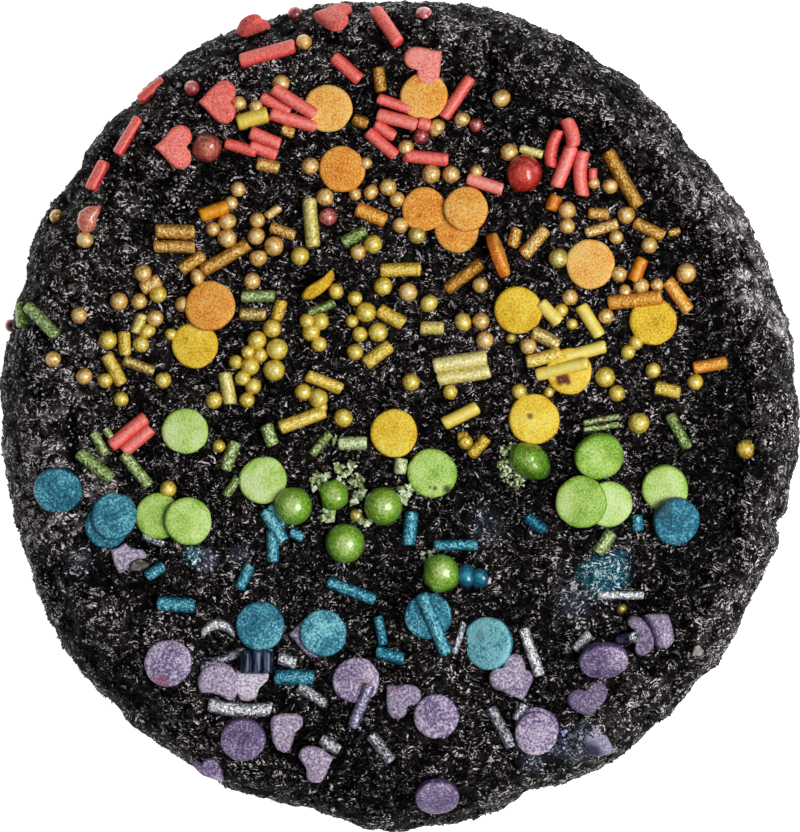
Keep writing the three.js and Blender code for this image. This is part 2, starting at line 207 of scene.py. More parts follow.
def crust_height(x, y):
    """Height of the crust's top at a place: a quarter ellipse over the shoulder, level inside, and relief."""
    share = np.minimum(1, np.hypot(x, y) / reach(np.arctan2(y, x)))
    across = np.clip((1 - share) / SHOULDER_SHARE, 0, 1)
    up = np.sqrt(1 - (1 - across) ** 2)
    plain = blend(WIDEST_HEIGHT, THICKNESS, up)
    return plain + up * relief(x, y, plain)


def draws_3d(cells):
    """Three repeatable draws from 0 to 1 for each cell of a lattice in space."""
    wave = np.sin(cells @ DRAW_WAVES)
    wave *= DRAW_GAIN
    return wave - np.floor(wave)


def lump_3d(points):
    """Smooth lumps in space from -1 to 1: draws at the corners of a lattice of spacing 1, eased together."""
    cell = np.floor(points)
    part = eased(points - cell)
    total = 0
    for step in itertools.product((0, 1), repeat=3):
        total = total + np.prod(np.where(step, part, 1 - part), -1) * draws_3d(cell + step)[..., 0]
    return 2 * total - 1


def cobbles(points, spacing):
    """Rounded lumps with sharp furrows between them: 1 less the squared distance, in spacings, to the
    nearest of one point put at random in each cell of a lattice. About 1 on a lump and 0 in a furrow."""
    scaled = points / spacing
    cell = np.floor(scaled)
    nearest = np.full(points.shape[:-1], 9.0)
    for step in itertools.product((-1, 0, 1), repeat=3):
        spot = cell + step
        nearest = np.minimum(nearest, ((scaled - spot - draws_3d(spot)) ** 2).sum(-1))
    return 1 - nearest


def crust_points(share, heading, height, out):
    """Points of the crust at a share of the outline, a heading and a plain height, pushed outwards by the
    relief and three sizes of cobbles, coarser on the rim. out is the way out there: how far sideways and
    how far up."""
    notch = NOTCH_DEPTH * ridge(np.degrees(heading), NOTCH_HEADING, NOTCH_SPAN) * share ** NOTCH_POWER
    plain = share * (reach(heading) - notch)
    push = relief(plain * np.cos(heading), plain * np.sin(heading), height)
    radius = plain + out[..., 0] * np.minimum(push, PUSHED_AT_MOST)
    points = np.stack([radius * np.cos(heading), radius * np.sin(heading), height + out[..., 1] * push], -1)
    way = np.stack([out[..., 0] * np.cos(heading), out[..., 0] * np.sin(heading), out[..., 1]], -1)
    rim = eased(np.clip((share - RIM_FROM) / (RIM_TO - RIM_FROM), 0, 1))
    level = COARSE_ON_SIDE + (1 - COARSE_ON_SIDE) * out[..., 1]
    fine = sum(
        blend(on_plateau, on_rim, rim) * (cobbles(points, spacing) - COBBLE_MIDDLE)
        * np.where(spacing > COARSE_FROM, level, 1)
        for spacing, on_plateau, on_rim in COBBLES)
    fine = fine + rim * SWELL_HEIGHT * lump_3d(points / SWELL_SPACING)
    return points + way * fine[:, None]


def concentric_sheet(cells):
    """Share and heading of the points of a square sheet squeezed into a circle: a point's share is its
    distance from the middle towards the nearest side, and its heading runs evenly along that side."""
    line = np.linspace(-1, 1, cells + 1)
    b, a = (grid.ravel() for grid in np.meshgrid(line, line, indexing="ij"))
    flat = np.abs(a) >= np.abs(b)
    share = np.maximum(np.abs(a), np.abs(b))
    safe = np.where(share == 0, 1, np.where(flat, a, b))
    turn = np.where(flat, b, -a) / safe * math.pi / 4
    side = np.where(flat, np.where(a > 0, 0, math.pi), np.where(b > 0, math.pi / 2, -math.pi / 2))
    return share, side + turn


def build(name, points, quads, triangles, finish, smooth=True):
    """A piece from points in millimetres and faces as rows of point numbers, riding on the cookie's body."""
    mesh = bpy.data.meshes.new(name)
    mesh.vertices.add(len(points))
    mesh.vertices.foreach_set("co", ((points + FRAME_SHIFT) * MM).astype(np.float32).ravel())
    corners = np.concatenate([np.ravel(quads), np.ravel(triangles)]).astype(np.int32)
    starts = np.concatenate([np.arange(len(quads)) * 4, len(quads) * 4 + np.arange(len(triangles)) * 3])
    mesh.loops.add(len(corners))
    mesh.loops.foreach_set("vertex_index", corners)
    mesh.polygons.add(len(starts))
    mesh.polygons.foreach_set("loop_start", starts.astype(np.int32))
    mesh.polygons.foreach_set("use_smooth", np.full(len(starts), smooth))
    mesh.update(calc_edges=True)
    mesh.materials.append(finish)
    piece = bpy.data.objects.new(name, mesh)
    bpy.context.scene.collection.objects.link(piece)
    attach(piece, "root")
    return piece


def note(piece, name, values):
    """A number, or a row of three, kept at each point of a piece for its material to read."""
    kind, field = ("FLOAT", "value") if np.ndim(values) == 1 else ("FLOAT_VECTOR", "vector")
    kept = piece.data.attributes.new(name, kind, "POINT")
    kept.data.foreach_set(field, np.ascontiguousarray(values, np.float32).ravel())


def make_crust(finish):
    """The top is a concentric sheet. From its edge, rings go over the shoulder, down the side and under the
    tuck to the flat base, which closes on a point."""
    share, heading = concentric_sheet(TOP_CELLS)
    top_out = np.broadcast_to([0.0, 1.0], (len(share), 2))
    plateau = 1 - SHOULDER_SHARE
    parts = [crust_points(share * plateau, heading, np.full(len(share), THICKNESS), top_out)]
    across = TOP_CELLS + 1
    at = np.arange(across * across).reshape(across, across)
    quads = [np.stack([at[:-1, :-1], at[:-1, 1:], at[1:, 1:], at[1:, :-1]], -1).reshape(-1, 4)]
    rim = np.concatenate([at[:-1, -1], at[-1, :0:-1], at[:0:-1, 0], at[0, :-1]])
    around = len(rim)
    turn = -math.pi / 4 + np.arange(around) / around * 2 * math.pi

    shoulder = np.linspace(1, 0, SIDE_RINGS * 2 // 3 + 1)[1:] * math.pi / 2
    tuck = np.linspace(0, 1, SIDE_RINGS // 3 + 1)[1:] * math.pi / 2
    shares = np.concatenate([
        1 - SHOULDER_SHARE * (1 - np.cos(shoulder)),
        1 - (1 - BASE_SHARE) * (1 - np.cos(tuck)),
        BASE_RINGS,
    ])
    level = np.zeros(len(BASE_RINGS))
    heights = np.concatenate([
        blend(WIDEST_HEIGHT, THICKNESS, np.sin(shoulder)), WIDEST_HEIGHT * (1 - np.sin(tuck)), level,
    ])
    sideways = np.concatenate([np.cos(shoulder), np.cos(tuck), level])
    upwards = np.concatenate([np.sin(shoulder), np.zeros(len(tuck)), level])
    before = rim
    count = len(parts[0])
    for share_here, height, out in zip(shares, heights, np.stack([sideways, upwards], -1)):
        ring_points = crust_points(
            np.full(around, share_here), turn, np.full(around, height), np.broadcast_to(out, (around, 2)))
        if height == 0:
            ring_points[:, 2] = 0
        parts.append(ring_points)
        ring = count + np.arange(around)
        count += around
        quads.append(np.stack([before, ring, np.roll(ring, -1), np.roll(before, -1)], -1))
        before = ring
    parts.append(np.zeros((1, 3)))
    base = np.stack([before, np.full(around, count), np.roll(before, -1)], -1)
    return build("crust", np.concatenate(parts), np.concatenate(quads), base, finish)


def node(made, kind, **values):
    """A shader node of a kind in a material, with its settings and its inputs set by name."""
    new = made.node_tree.nodes.new(kind)
    for key, value in values.items():
        if key in new.inputs:
            new.inputs[key].default_value = value
        else:
            setattr(new, key, value)
    return new


def ramp(made, source, *stops):
    """A colour ramp on a source socket, its stops given as position and colour."""
    new = node(made, "ShaderNodeValToRGB")
    elements = new.color_ramp.elements
    while len(elements) < len(stops):
        elements.new(0.5)
    for element, (position, colour) in zip(elements, stops):
        element.position = position
        element.color = (*colour, 1)
    made.node_tree.links.new(source, new.inputs["Fac"])
    return new.outputs["Color"]


def noise(made, scale, detail=3.0):
    """Fractal noise on the piece's own coordinates, its scale in bumps for each metre."""
    where = node(made, "ShaderNodeTexCoord")
    new = node(made, "ShaderNodeTexNoise", Scale=scale, Detail=detail, Roughness=0.6)
    made.node_tree.links.new(where.outputs["Object"], new.inputs["Vector"])
    return new.outputs["Fac"]


def wire(made, source, socket):
    """Takes a source socket to a named socket of a material's surface."""
    made.node_tree.links.new(source, made.node_tree.nodes["Principled BSDF"].inputs[socket])


def grain(made, socket, height):
    """Fine relief from a source socket, a height in millimetres from black to white."""
    new = node(made, "ShaderNodeBump", Strength=1.0, Distance=height * MM)
    made.node_tree.links.new(socket, new.inputs["Height"])
    wire(made, new.outputs["Normal"], "Normal")


# The rim's paleness by heading is partly its own grey skin and partly painted light where it faces the lamps.
DRY_AND_LIT_RIM = np.array([         # heading in degrees, and how grey the rim's skin is there
    (0, 1.05), (18, 1.75), (48, 0.85), (78, 1.1), (110, 0.9), (140, 0.75), (165, 0.65), (192, 1.75),
    (218, 0.5), (260, 0.2), (300, 0.7), (323, 1.2), (345, 0.9), (360, 1.05),
])
DRY_PLATEAU, DRY_PATCHES, DRY_PATCH_SPACING = 0.42, 0.45, 8.0
DRY_PATCH_X, DRY_PATCH_Y = 17, -5                          # which stretch of the lumps the patches are
DRY_RIM_PATCHES, DRIEST_AND_MOST_LIT = 0.3, 1.8
FURROW_SHADE = 0.95           # how much darker the furrows between the cobbles are painted, as painted shade
FURROW_SHADE_COBBLES = ((5.2, 0.4), (2.4, 0.4), (1.2, 0.2))         # which cobbles' furrows get painted shade, and their share
HOLLOW_FROM, HOLLOW_TO_TOP = 0.50, 0.2                     # how high a furrow ends, and from there to the top
WALL_FROM, WALL_RISE, WALL_SHARE = 3.5, 4, 0.5             # mm up the side, and how much of its paleness the side keeps below that
LIT_TOPS, SHADED_FURROWS = 0.45, 1.4                        # painted light on the rim's cobble tops, and painted shade in its furrows
RIM_STARTS, RIM_START_SWING, RIM_FADE = 0.775, 0.085, 0.07  # shares of the outline
# Painted shade in the crease inside the lip: how much, at what share of the outline, and how wide.
CREASE_SHADE, CREASE_SHADE_SHARE, CREASE_SHADE_WIDTH = 0.95, 0.815, 0.065

# Glitter smashed into the skin: x, y, radius in mm and strength
TEAL_SMEARS = [
    (590, 573, 1.5, 1), (603, 570, 2.0, 1), (617, 577, 1.5, 0.9), (620, 560, 1.3, 0.8),
    (604, 585, 1.8, 0.9), (194, 555, 1.2, 0.9),
]
SLATE_SMEARS = [
    (207, 561, 1.4, 0.8), (240, 556, 1.3, 0.6), (80, 560, 1.6, 0.4), (485, 525, 2.0, 0.5),
    (575, 598, 2.4, 0.7), (558, 742, 1.8, 0.8), (576, 748, 2.0, 0.9), (585, 732, 1.4, 0.8),
    (532, 760, 1.6, 0.6),
]

# The skin's noises: bumps for each metre, then a gain and a start that make flecks of them, partly painted
# glints
STROKES, STROKE_TURNS, STROKE_GAIN, STROKE_START = 3000, (-35, 40), 11.0, -6.25
STROKE_SHORTENED = 0.5       # how much the coordinates are shortened along the strokes
SWIRL_SCALE, SWIRL_PUSH = 420.0, 0.004
CLUMPS, CLUMP_GAIN, CLUMP_START = 750, 6.0, -2.5
CLUMPED = 0.85               # the share of the strokes that the clumps govern
GROUND, GROUND_GAIN, GROUND_START, GROUND_SHARE = 650, 2.2, -0.9, 0.5
# How strongly strokes show where the skin is moist and shaded, and how much its dryness and painted light
# add.
SHADED_AND_MOIST_STROKES, DRY_AND_LIT_STROKES = 0.78, 0.62
# Painted light: where the rim is noted driest and most lit, strokes give way to grey ground.
PARCHED_AND_LIT_FROM, PARCHED_AND_LIT_STROKES, PARCHED_AND_LIT_GROUND = 0.9, -0.3, 0.6
SMEAR_GAIN, SMEAR_START = 1.3, 0.22
SHEEN = 500
SKIN_RELIEF = 0.2
SKIN_COLOURS = (
    (0.0, (0.0004, 0.0003, 0.0003)), (0.04, (0.0020, 0.0015, 0.0015)), (0.25, (0.0240, 0.0185, 0.0192)),
    (0.55, (0.158, 0.135, 0.138)), (1.0, (0.77, 0.71, 0.72)))
SLATE_COLOURS = (0.0, (0.004, 0.005, 0.010)), (0.4, (0.05, 0.06, 0.09)), (1.0, (0.50, 0.54, 0.62))
TEAL_COLOURS = (
    (0.0, (0.002, 0.014, 0.020)), (0.3, (0.008, 0.075, 0.11)), (0.6, (0.10, 0.34, 0.42)),
    (1.0, (0.80, 0.92, 0.94)))
MIX_FIRST, MIX_SECOND, MIX_RESULT = 6, 7, 2               # the colour sockets of a mix node, by number


def rimness(x, y):
    """0 on the plateau and 1 on the rim, which starts farther in away from the lip, by a cosine."""
    heading = np.arctan2(y, x)
    start = RIM_STARTS + RIM_START_SWING * np.cos(heading - math.radians(LIP_HEADING))
    return eased(np.clip((np.hypot(x, y) / reach(heading) - start) / RIM_FADE, 0, 1))


def dryness_and_light(x, y):
    """How pale the skin is painted: in patches of its own dryness on the plateau; by heading on the rim,
    partly its own grey and partly painted light; and less in the crease, which is painted shade.
    """
    heading = np.arctan2(y, x)
    share = np.hypot(x, y) / reach(heading)
    broad = lump(x + DRY_PATCH_X, y + DRY_PATCH_Y, DRY_PATCH_SPACING)
    patches = broad + 0.5 * lump(x, y, DRY_PATCH_SPACING / 2)
    plateau = (DRY_PLATEAU + DRY_PATCHES * patches) * (
        1 - CREASE_SHADE * along_lip(heading) * ridge(share, CREASE_SHADE_SHARE, CREASE_SHADE_WIDTH))
    around = np.interp(np.degrees(heading) % 360, DRY_AND_LIT_RIM[:, 0], DRY_AND_LIT_RIM[:, 1])
    around = around * (1 + DRY_RIM_PATCHES * patches)
    return np.clip(blend(plateau, around, rimness(x, y)), 0, DRIEST_AND_MOST_LIT)


def across_up(x, y):
    """Millimetres to the right of and above the middle, from picture pixels."""
    return (x - MIDDLE_X) * MM_A_PIXEL, (MIDDLE_Y - y) * MM_A_PIXEL


def marked(points, marks):
    """How strongly each point is marked, by round marks of a pixel place, a radius in mm and a strength."""
    total = np.zeros(len(points))
    for x, y, radius, strength in marks:
        across, up = across_up(x, y)
        squared = (points[:, 0] - across) ** 2 + (points[:, 1] - up) ** 2
        total += strength * np.exp(-(squared / radius ** 2) ** 2)
    return np.minimum(total, 1)


def calculate(made, operation, *values, clamp=False):
    """A sum or another operation on sockets and numbers."""
    new = node(made, "ShaderNodeMath", operation=operation, use_clamp=clamp)
    for socket, value in zip(new.inputs, values):
        if isinstance(value, (int, float)):
            socket.default_value = value
        else:
            made.node_tree.links.new(value, socket)
    return new.outputs[0]


def swirled(made, scale, turn):
    """Noise drawn out into short strokes: the piece's coordinates are pushed about by a coarse noise,
    turned by an angle in degrees and shortened one way, so the bumps come out long that way."""
    where = node(made, "ShaderNodeTexCoord")
    coarse = node(made, "ShaderNodeTexNoise", Scale=SWIRL_SCALE, Detail=1.0)
    made.node_tree.links.new(where.outputs["Object"], coarse.inputs["Vector"])
    pushed = node(made, "ShaderNodeVectorMath", operation="MULTIPLY_ADD")
    made.node_tree.links.new(coarse.outputs["Color"], pushed.inputs[0])
    pushed.inputs[1].default_value = (SWIRL_PUSH,) * 3
    made.node_tree.links.new(where.outputs["Object"], pushed.inputs[2])
    placed = node(made, "ShaderNodeMapping")
    made.node_tree.links.new(pushed.outputs[0], placed.inputs["Vector"])
    placed.inputs["Rotation"].default_value = (0, 0, math.radians(turn))
    placed.inputs["Scale"].default_value = (STROKE_SHORTENED, 1, 1)
    new = node(made, "ShaderNodeTexNoise", Scale=scale, Detail=2.0, Roughness=0.65)
    made.node_tree.links.new(placed.outputs[0], new.inputs["Vector"])
    return new.outputs["Fac"]


def attribute(made, name, output="Fac"):
    """What a material reads from one of its piece's notes."""
    return node(made, "ShaderNodeAttribute", attribute_name=name).outputs[output]


def mixed(made, share, first, second):
    """A colour that goes from a first towards a second by a share from 0 to 1."""
    new = node(made, "ShaderNodeMix", data_type="RGBA")
    made.node_tree.links.new(share, new.inputs["Factor"])
    made.node_tree.links.new(first, new.inputs[MIX_FIRST])
    if isinstance(second, tuple):
        new.inputs[MIX_SECOND].default_value = (*second, 1)
    else:
        made.node_tree.links.new(second, new.inputs[MIX_SECOND])
    return new.outputs[MIX_RESULT]


def cocoa_skin():
    """Nearly black, flecked with short pale strokes that lie in clumps, over cloudy ground; the strokes are
    partly pale sugar bloom and partly painted glints. Both are stronger where the skin is noted as dry, which
    carries painted light on the rim and painted shade in the crease, and as raised, painted light on the
    rim's cobble tops and painted shade in its furrows. Smears of slate and teal glitter take their place
    where noted."""
    made = material("baked_cocoa", Specular_IOR_Level=0.02)
    dry_and_lit = attribute(made, "dry_and_lit")
    ways = [swirled(made, STROKES, turn) for turn in STROKE_TURNS]
    strokes = calculate(made, "MAXIMUM", *(
        calculate(made, "MULTIPLY_ADD", way, STROKE_GAIN, STROKE_START, clamp=True) for way in ways))
    clumps = calculate(made, "MULTIPLY_ADD", noise(made, CLUMPS, 2.0), CLUMP_GAIN, CLUMP_START, clamp=True)
    # Painted light: where the rim is noted driest and most lit, strokes give way to grey ground.
    parched_and_lit = calculate(made, "SUBTRACT", dry_and_lit, PARCHED_AND_LIT_FROM, clamp=True)
    for source, gain, plain in ((clumps, CLUMPED, 1 - CLUMPED), (dry_and_lit, DRY_AND_LIT_STROKES, SHADED_AND_MOIST_STROKES),
                                (parched_and_lit, PARCHED_AND_LIT_STROKES, 1.0)):
        strokes = calculate(made, "MULTIPLY", strokes, calculate(made, "MULTIPLY_ADD", source, gain, plain))
    ground = calculate(made, "MULTIPLY_ADD", noise(made, GROUND), GROUND_GAIN, GROUND_START)
    ground = calculate(made, "MULTIPLY_ADD", parched_and_lit, PARCHED_AND_LIT_GROUND, ground, clamp=True)
    ground = calculate(made, "MULTIPLY", ground, calculate(made, "MINIMUM", dry_and_lit, 1.0))
    pale = calculate(made, "MULTIPLY_ADD", ground, GROUND_SHARE, strokes, clamp=True)
    # The note raised is painted light on the rim's cobble tops and painted shade in its furrows.
    pale = calculate(made, "MULTIPLY", pale, attribute(made, "raised"), clamp=True)
    smeared = calculate(made, "MULTIPLY_ADD", pale, SMEAR_GAIN, SMEAR_START, clamp=True)
    skin = ramp(made, pale, *SKIN_COLOURS)
    skin = mixed(made, attribute(made, "slate"), skin, ramp(made, smeared, *SLATE_COLOURS))
    skin = mixed(made, attribute(made, "teal"), skin, ramp(made, smeared, *TEAL_COLOURS))
    wire(made, skin, "Base Color")
    wire(made, ramp(made, noise(made, SHEEN), (0.35, (0.30,) * 3), (0.65, (0.6,) * 3)), "Roughness")
    grain(made, ways[0], SKIN_RELIEF)
    return made


def points_of(piece):
    """A piece's points in millimetres, before they were shifted to the frame's origin."""
    points = np.empty(len(piece.data.vertices) * 3, np.float32)
    piece.data.vertices.foreach_get("co", points)
    return points.reshape(-1, 3) / MM - FRAME_SHIFT


crust = make_crust(cocoa_skin())
at = points_of(crust)
# Painted shade in the cobbles' furrows and painted light on the rim's tops, noted with the skin's dryness.
tops = sum(
    np.clip((cobbles(at, spacing) - HOLLOW_FROM) / HOLLOW_TO_TOP, 0, 1) * share
    for spacing, share in FURROW_SHADE_COBBLES)
up_wall = WALL_SHARE + (1 - WALL_SHARE) * eased(np.clip((at[:, 2] - WALL_FROM) / WALL_RISE, 0, 1))
note(crust, "dry_and_lit", dryness_and_light(at[:, 0], at[:, 1]) * up_wall * (1 - FURROW_SHADE + FURROW_SHADE * tops))
note(crust, "raised", 1 + rimness(at[:, 0], at[:, 1]) * (LIT_TOPS * up_wall - SHADED_FURROWS * (1 - tops)))
note(crust, "slate", marked(at, SLATE_SMEARS))
note(crust, "teal", marked(at, TEAL_SMEARS))
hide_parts("cookie")

# --------------------------------------------------------------------------------------------------- crumbs
# Cocoa and sugar crumbs that stand out of the skin all over the top and side: fine grit, coarser crumbs, and
# on the rim chunks like wet coal. Each is a sharp little crystal, mostly sunk; a few are pale bare sugar.

GRIT_PIECES, GRIT_A_PIECE = 2, 20000
GRIT_SMALLEST, GRIT_LARGEST = 0.28, 0.60
CRUMBS, CRUMB_SMALLEST, CRUMB_LARGEST = 9000, 0.40, 0.95
CHUNKS, CHUNK_SMALLEST, CHUNK_LARGEST = 700, 0.8, 1.5
CHUNKS_FROM, CHUNKS_ABOVE = 0.865, 1.5   # share of the outline and height in mm from which chunks lie on it
CRUMBS_ABOVE = 0.8
GRIT_SEED, CRUMB_SEED, CHUNK_SEED = 7, 11, 13
CRUMB_POWER, CHUNK_POWER = 2, 1.5        # the higher, the fewer of them are large
STEEP_BELOW, STEEP_SIZE = 0.7, 0.7       # where the way out rises less than this, grit is smaller by this
PALE_POWER = 4                           # the higher, the fewer of the crystals are pale
SHADED_AND_MOIST_PALENESS, CRUMB_PALENESS = 0.2, 0.6
CORNER_REACH, STRETCH = (0.7, 1.25), (0.55, 1.2)
CORNER_JITTER = 0.25                     # how far a crystal's corners are moved, in halves of its size
COCOA_COLOURS = (0.0, (0.0012, 0.001, 0.001)), (0.3, (0.03, 0.026, 0.026)), (1.0, (0.60, 0.57, 0.56))
COAL_COLOURS = (0.45, (0.003, 0.0025, 0.0025)), (0.70, (0.13, 0.12, 0.12))

TETRA_SIZE = 0.62
TETRA = np.array([(1, 1, 1), (-1, -1, 1), (-1, 1, -1), (1, -1, -1)], float) * TETRA_SIZE
TETRA_FACES = np.array([(0, 2, 1), (0, 1, 3), (0, 3, 2), (1, 2, 3)])
OCTA = np.array([(1, 0, 0), (0, 1, 0), (-1, 0, 0), (0, -1, 0), (0, 0, 1), (0, 0, -1)], float)
OCTA_FACES = np.array([
    (0, 1, 4), (1, 2, 4), (2, 3, 4), (3, 0, 4), (1, 0, 5), (2, 1, 5), (3, 2, 5), (0, 3, 5)])


def spots_on(piece, count, random, wanted):
    """Points spread evenly where wanted on a piece, and the way out there: faces are drawn by their area."""
    mesh = piece.data
    mesh.calc_loop_triangles()
    corners = np.empty(len(mesh.loop_triangles) * 3, np.int32)
    mesh.loop_triangles.foreach_get("vertices", corners)
    a, b, c = np.moveaxis(points_of(piece)[corners.reshape(-1, 3)], 1, 0)
    out = np.cross(b - a, c - a)
    area = np.linalg.norm(out, axis=1)
    chance = np.cumsum(np.where(wanted(*a.T), area, 0))
    face = np.searchsorted(chance, random.random(count) * chance[-1])
    s, t = np.sort(random.random((2, count)), axis=0)
    spot = a[face] * s[:, None] + b[face] * (t - s)[:, None] + c[face] * (1 - t)[:, None]
    return spot, out[face] / area[face][:, None]


def turned(random, count):
    """Random rotations, as rows of three square axes."""
    axes, _ = np.linalg.qr(random.normal(size=(count, 3, 3)))
    return axes * np.sign(np.linalg.det(axes))[:, None, None]


def crystals(name, shape, faces, spots, out, sizes, random, finish, tone, sunk=0.05):
    """One crystal at each spot: the shape with its points moved about, stretched, turned and sunk."""
    count = len(spots)
    moved = shape * random.uniform(*CORNER_REACH, (count, len(shape), 1))
    moved = moved + random.uniform(-CORNER_JITTER, CORNER_JITTER, (count, len(shape), 3))
    moved = np.einsum("kij,kpj->kpi", turned(random, count), moved * random.uniform(*STRETCH, (count, 1, 3)))
    middle = spots - out * (sizes * sunk)[:, None]
    points = middle[:, None] + moved * sizes[:, None, None] / 2
    rows = faces[None] + len(shape) * np.arange(count)[:, None, None]
    no_quads = np.zeros((0, 4), int)
    piece = build(name, points.reshape(-1, 3), no_quads, rows.reshape(-1, 3), finish, smooth=False)
    note(piece, "tone", np.repeat(tone, len(shape)))
    return piece


def paleness(spots, random):
    """How pale each crystal is: a draw to a high power, times the skin's dryness, which also carries painted
    light on the rim and painted shade in the crease.
    """
    return random.random(len(spots)) ** PALE_POWER * (SHADED_AND_MOIST_PALENESS + dryness_and_light(spots[:, 0], spots[:, 1]))


def above_base(x, y, z):
    """Whether a place is high enough for grit and crumbs."""
    return z > CRUMBS_ABOVE


def on_rim(x, y, z):
    """Whether a place is high enough and far enough out for chunks."""
    return (z > CHUNKS_ABOVE) & (np.hypot(x, y) > CHUNKS_FROM * reach(np.arctan2(y, x)))


def cocoa_crystal(name, roughness, shine):
    """The surface of grit or crumbs: from nearly black to bare sugar by each crystal's tone."""
    made = material(name, roughness=roughness, Specular_IOR_Level=shine)
    wire(made, ramp(made, attribute(made, "tone"), *COCOA_COLOURS), "Base Color")
    return made


crumb_finish = cocoa_crystal("cocoa_crumb", 0.22, 0.75)
grit_finish = cocoa_crystal("cocoa_grit", 0.5, 0.08)
for batch in range(GRIT_PIECES):
    random = np.random.default_rng(GRIT_SEED + batch)
    spots, out = spots_on(crust, GRIT_A_PIECE, random, above_base)
    sizes = random.uniform(GRIT_SMALLEST, GRIT_LARGEST, GRIT_A_PIECE)
    sizes = sizes * np.where(out[:, 2] < STEEP_BELOW, STEEP_SIZE, 1)
    grit = crystals(f"grit_{batch + 1}", TETRA, TETRA_FACES, spots, out, sizes, random, grit_finish,
                    paleness(spots, random))
random = np.random.default_rng(CRUMB_SEED)
spots, out = spots_on(crust, CRUMBS, random, above_base)
sizes = blend(CRUMB_SMALLEST, CRUMB_LARGEST, random.random(CRUMBS) ** CRUMB_POWER)
crumbs = crystals("crumbs", OCTA, OCTA_FACES, spots, out, sizes, random, crumb_finish,
                  paleness(spots, random) * CRUMB_PALENESS, sunk=0.10)
chunk_finish = material("coal_like_chunk", roughness=0.25, Specular_IOR_Level=0.75)
wire(chunk_finish, ramp(chunk_finish, noise(chunk_finish, 1900, 2.0), *COAL_COLOURS), "Base Color")
grain(chunk_finish, noise(chunk_finish, 2600, 2.0), 0.10)
random = np.random.default_rng(CHUNK_SEED)
spots, out = spots_on(crust, CHUNKS, random, on_rim)
sizes = blend(CHUNK_SMALLEST, CHUNK_LARGEST, random.random(CHUNKS) ** CHUNK_POWER)
chunks = crystals("rim_chunks", OCTA, OCTA_FACES, spots, out, sizes, random, chunk_finish,
                  np.zeros(CHUNKS), sunk=0.3)

# ------------------------------------------------------------------------------------------------- confetti
# Round flat drops of coloured sugar about 6 mm across, matte and finely grained, with soft edges. They lie
# a third sunk in the crust, baked fast to it; some lean, one stands on edge, and two have lost a part.

SUNK = 0.35                  # share of a sprinkle's thickness that lies in the crust
CONFETTI_THICKNESS, CONFETTI_DOME = 1.3, 0.20
COIN_COLUMNS = 56
COIN_CORNER = 0.15           # share of the radius that a drop's soft edge takes
OUT_OF_ROUND = ((2, 0.014), (3, 0.010), (7, 0.006))        # waves around a drop, and shares of its radius
EDGE_SQUARER = 0.7           # below 1, the edge is squarer than half a circle
EDGE_FROM = 0.72             # share of the radius from which a drop's tone changes towards its edge
COIN_SIDE = (0.35, 0.3)      # height in thicknesses below which a drop's side is painted darker as shade, and over how much
COIN_WEAR, COIN_WEAR_SPACING = 0.035, 1.6
FINE_WEAR, FINE_WEAR_SPACING = 0.02, 0.5
WEAR_AWAY = 400              # how far apart the stretches of lumps may be that wear the sprinkles
OWN_APART = 17.0             # how far apart the sprinkles are in the noise that colours them
TONE_GAIN = 0.3              # how far along its ramp a tone of 1 moves a sprinkle's colour
CLOUD_SCALE = 0.35
SCREEN_FOOT, SCREEN_POWER = 0.055, 2.4

# x, y, radius in mm, how far it leans in degrees, heading of its raised edge, lift, tone
ORANGE_CONFETTI = [
    (328, 108, 3.02, 0, 0, 0, 0.7), (424, 96, 3.0, 0, 0, 0, 0.4), (342, 169, 2.9, 0, 0, 0, -0.2),
    (424, 209, 2.8, 0, 0, 0, -0.2), (457, 230, 2.8, 0, 0, 0, 0), (466, 209, 2.8, 8, 270, 0.9, 0.3),
    (210, 306, 3.15, 12, 270, 0.7, 0.1), (590, 264, 3.1, 0, 0, 0, 0.9), (498, 255, 2.85, 86, 199, 0.9, 0),
]
YELLOW_CONFETTI = [
    (195, 345, 2.9, 0, 0, 0, 0.1), (518, 310, 3.0, 0, 0, 0, 0), (653, 321, 3.0, 0, 0, 0, -0.2),
    (569, 371, 2.9, 0, 0, 0, 0.3), (394, 433, 3.0, 0, 0, 0, 0.3), (534, 419, 3.2, 0, 0, 0, 0.5),
]
GREEN_CONFETTI = [
    (185, 431, 2.9, 0, 0, 0, 0.5), (263, 480, 3.0, 0, 0, 0, 0.6), (432, 473, 3.12, 0, 0, 0, -0.1),
    (158, 516, 2.9, 0, 0, 0, -0.3), (188, 521, 3.0, 8, 180, 0.8, 0.1),
    (599, 456, 3.12, 32, 110, 0.8, -0.6), (609, 504, 2.9, 0, 0, 0, 0.8),
    (581, 502, 3.25, 8, 0, 0.8, -0.1), (665, 488, 2.95, 12, 90, 0.3, 0.6),
]
BLUE_CONFETTI = [
    (58, 490, 3.0, 20, 90, 0.5, -0.4), (107, 526, 2.8, 0, 0, 0, -0.2), (114, 516, 2.9, 8, 240, 0.8, -0.1),
    (676, 521, 3.05, 28, 135, 0.9, -0.5), (260, 626, 3.08, 0, 0, 0, -0.2),
    (323, 633, 2.95, 8, 200, 0.6, 0.3), (428, 616, 2.95, 0, 0, 0, -0.1), (488, 643, 3.3, 25, 0, 0.3, 1.6),
]
PURPLE_CONFETTI = [
    (168, 663, 2.97, 0, 0, 0, 0.3), (356, 680, 2.9, 0, 0, 0, 0.5), (243, 739, 2.85, 20, 90, 0.2, -0.4),
    (436, 716, 2.82, 0, 0, 0, 0.2), (437, 796, 2.8, 15, 90, 0.2, -0.5), (537, 728, 2.7, 0, 0, 0, 0),
    (536, 733, 2.7, 4, 90, 0.9, 0.7), (603, 660, 3.05, 51, 90, 1.3, 0),
]
SIDE_DARKER = 1.8            # painted shade: how much darker the side of a drop is, in tone, where it shows on leaning ones


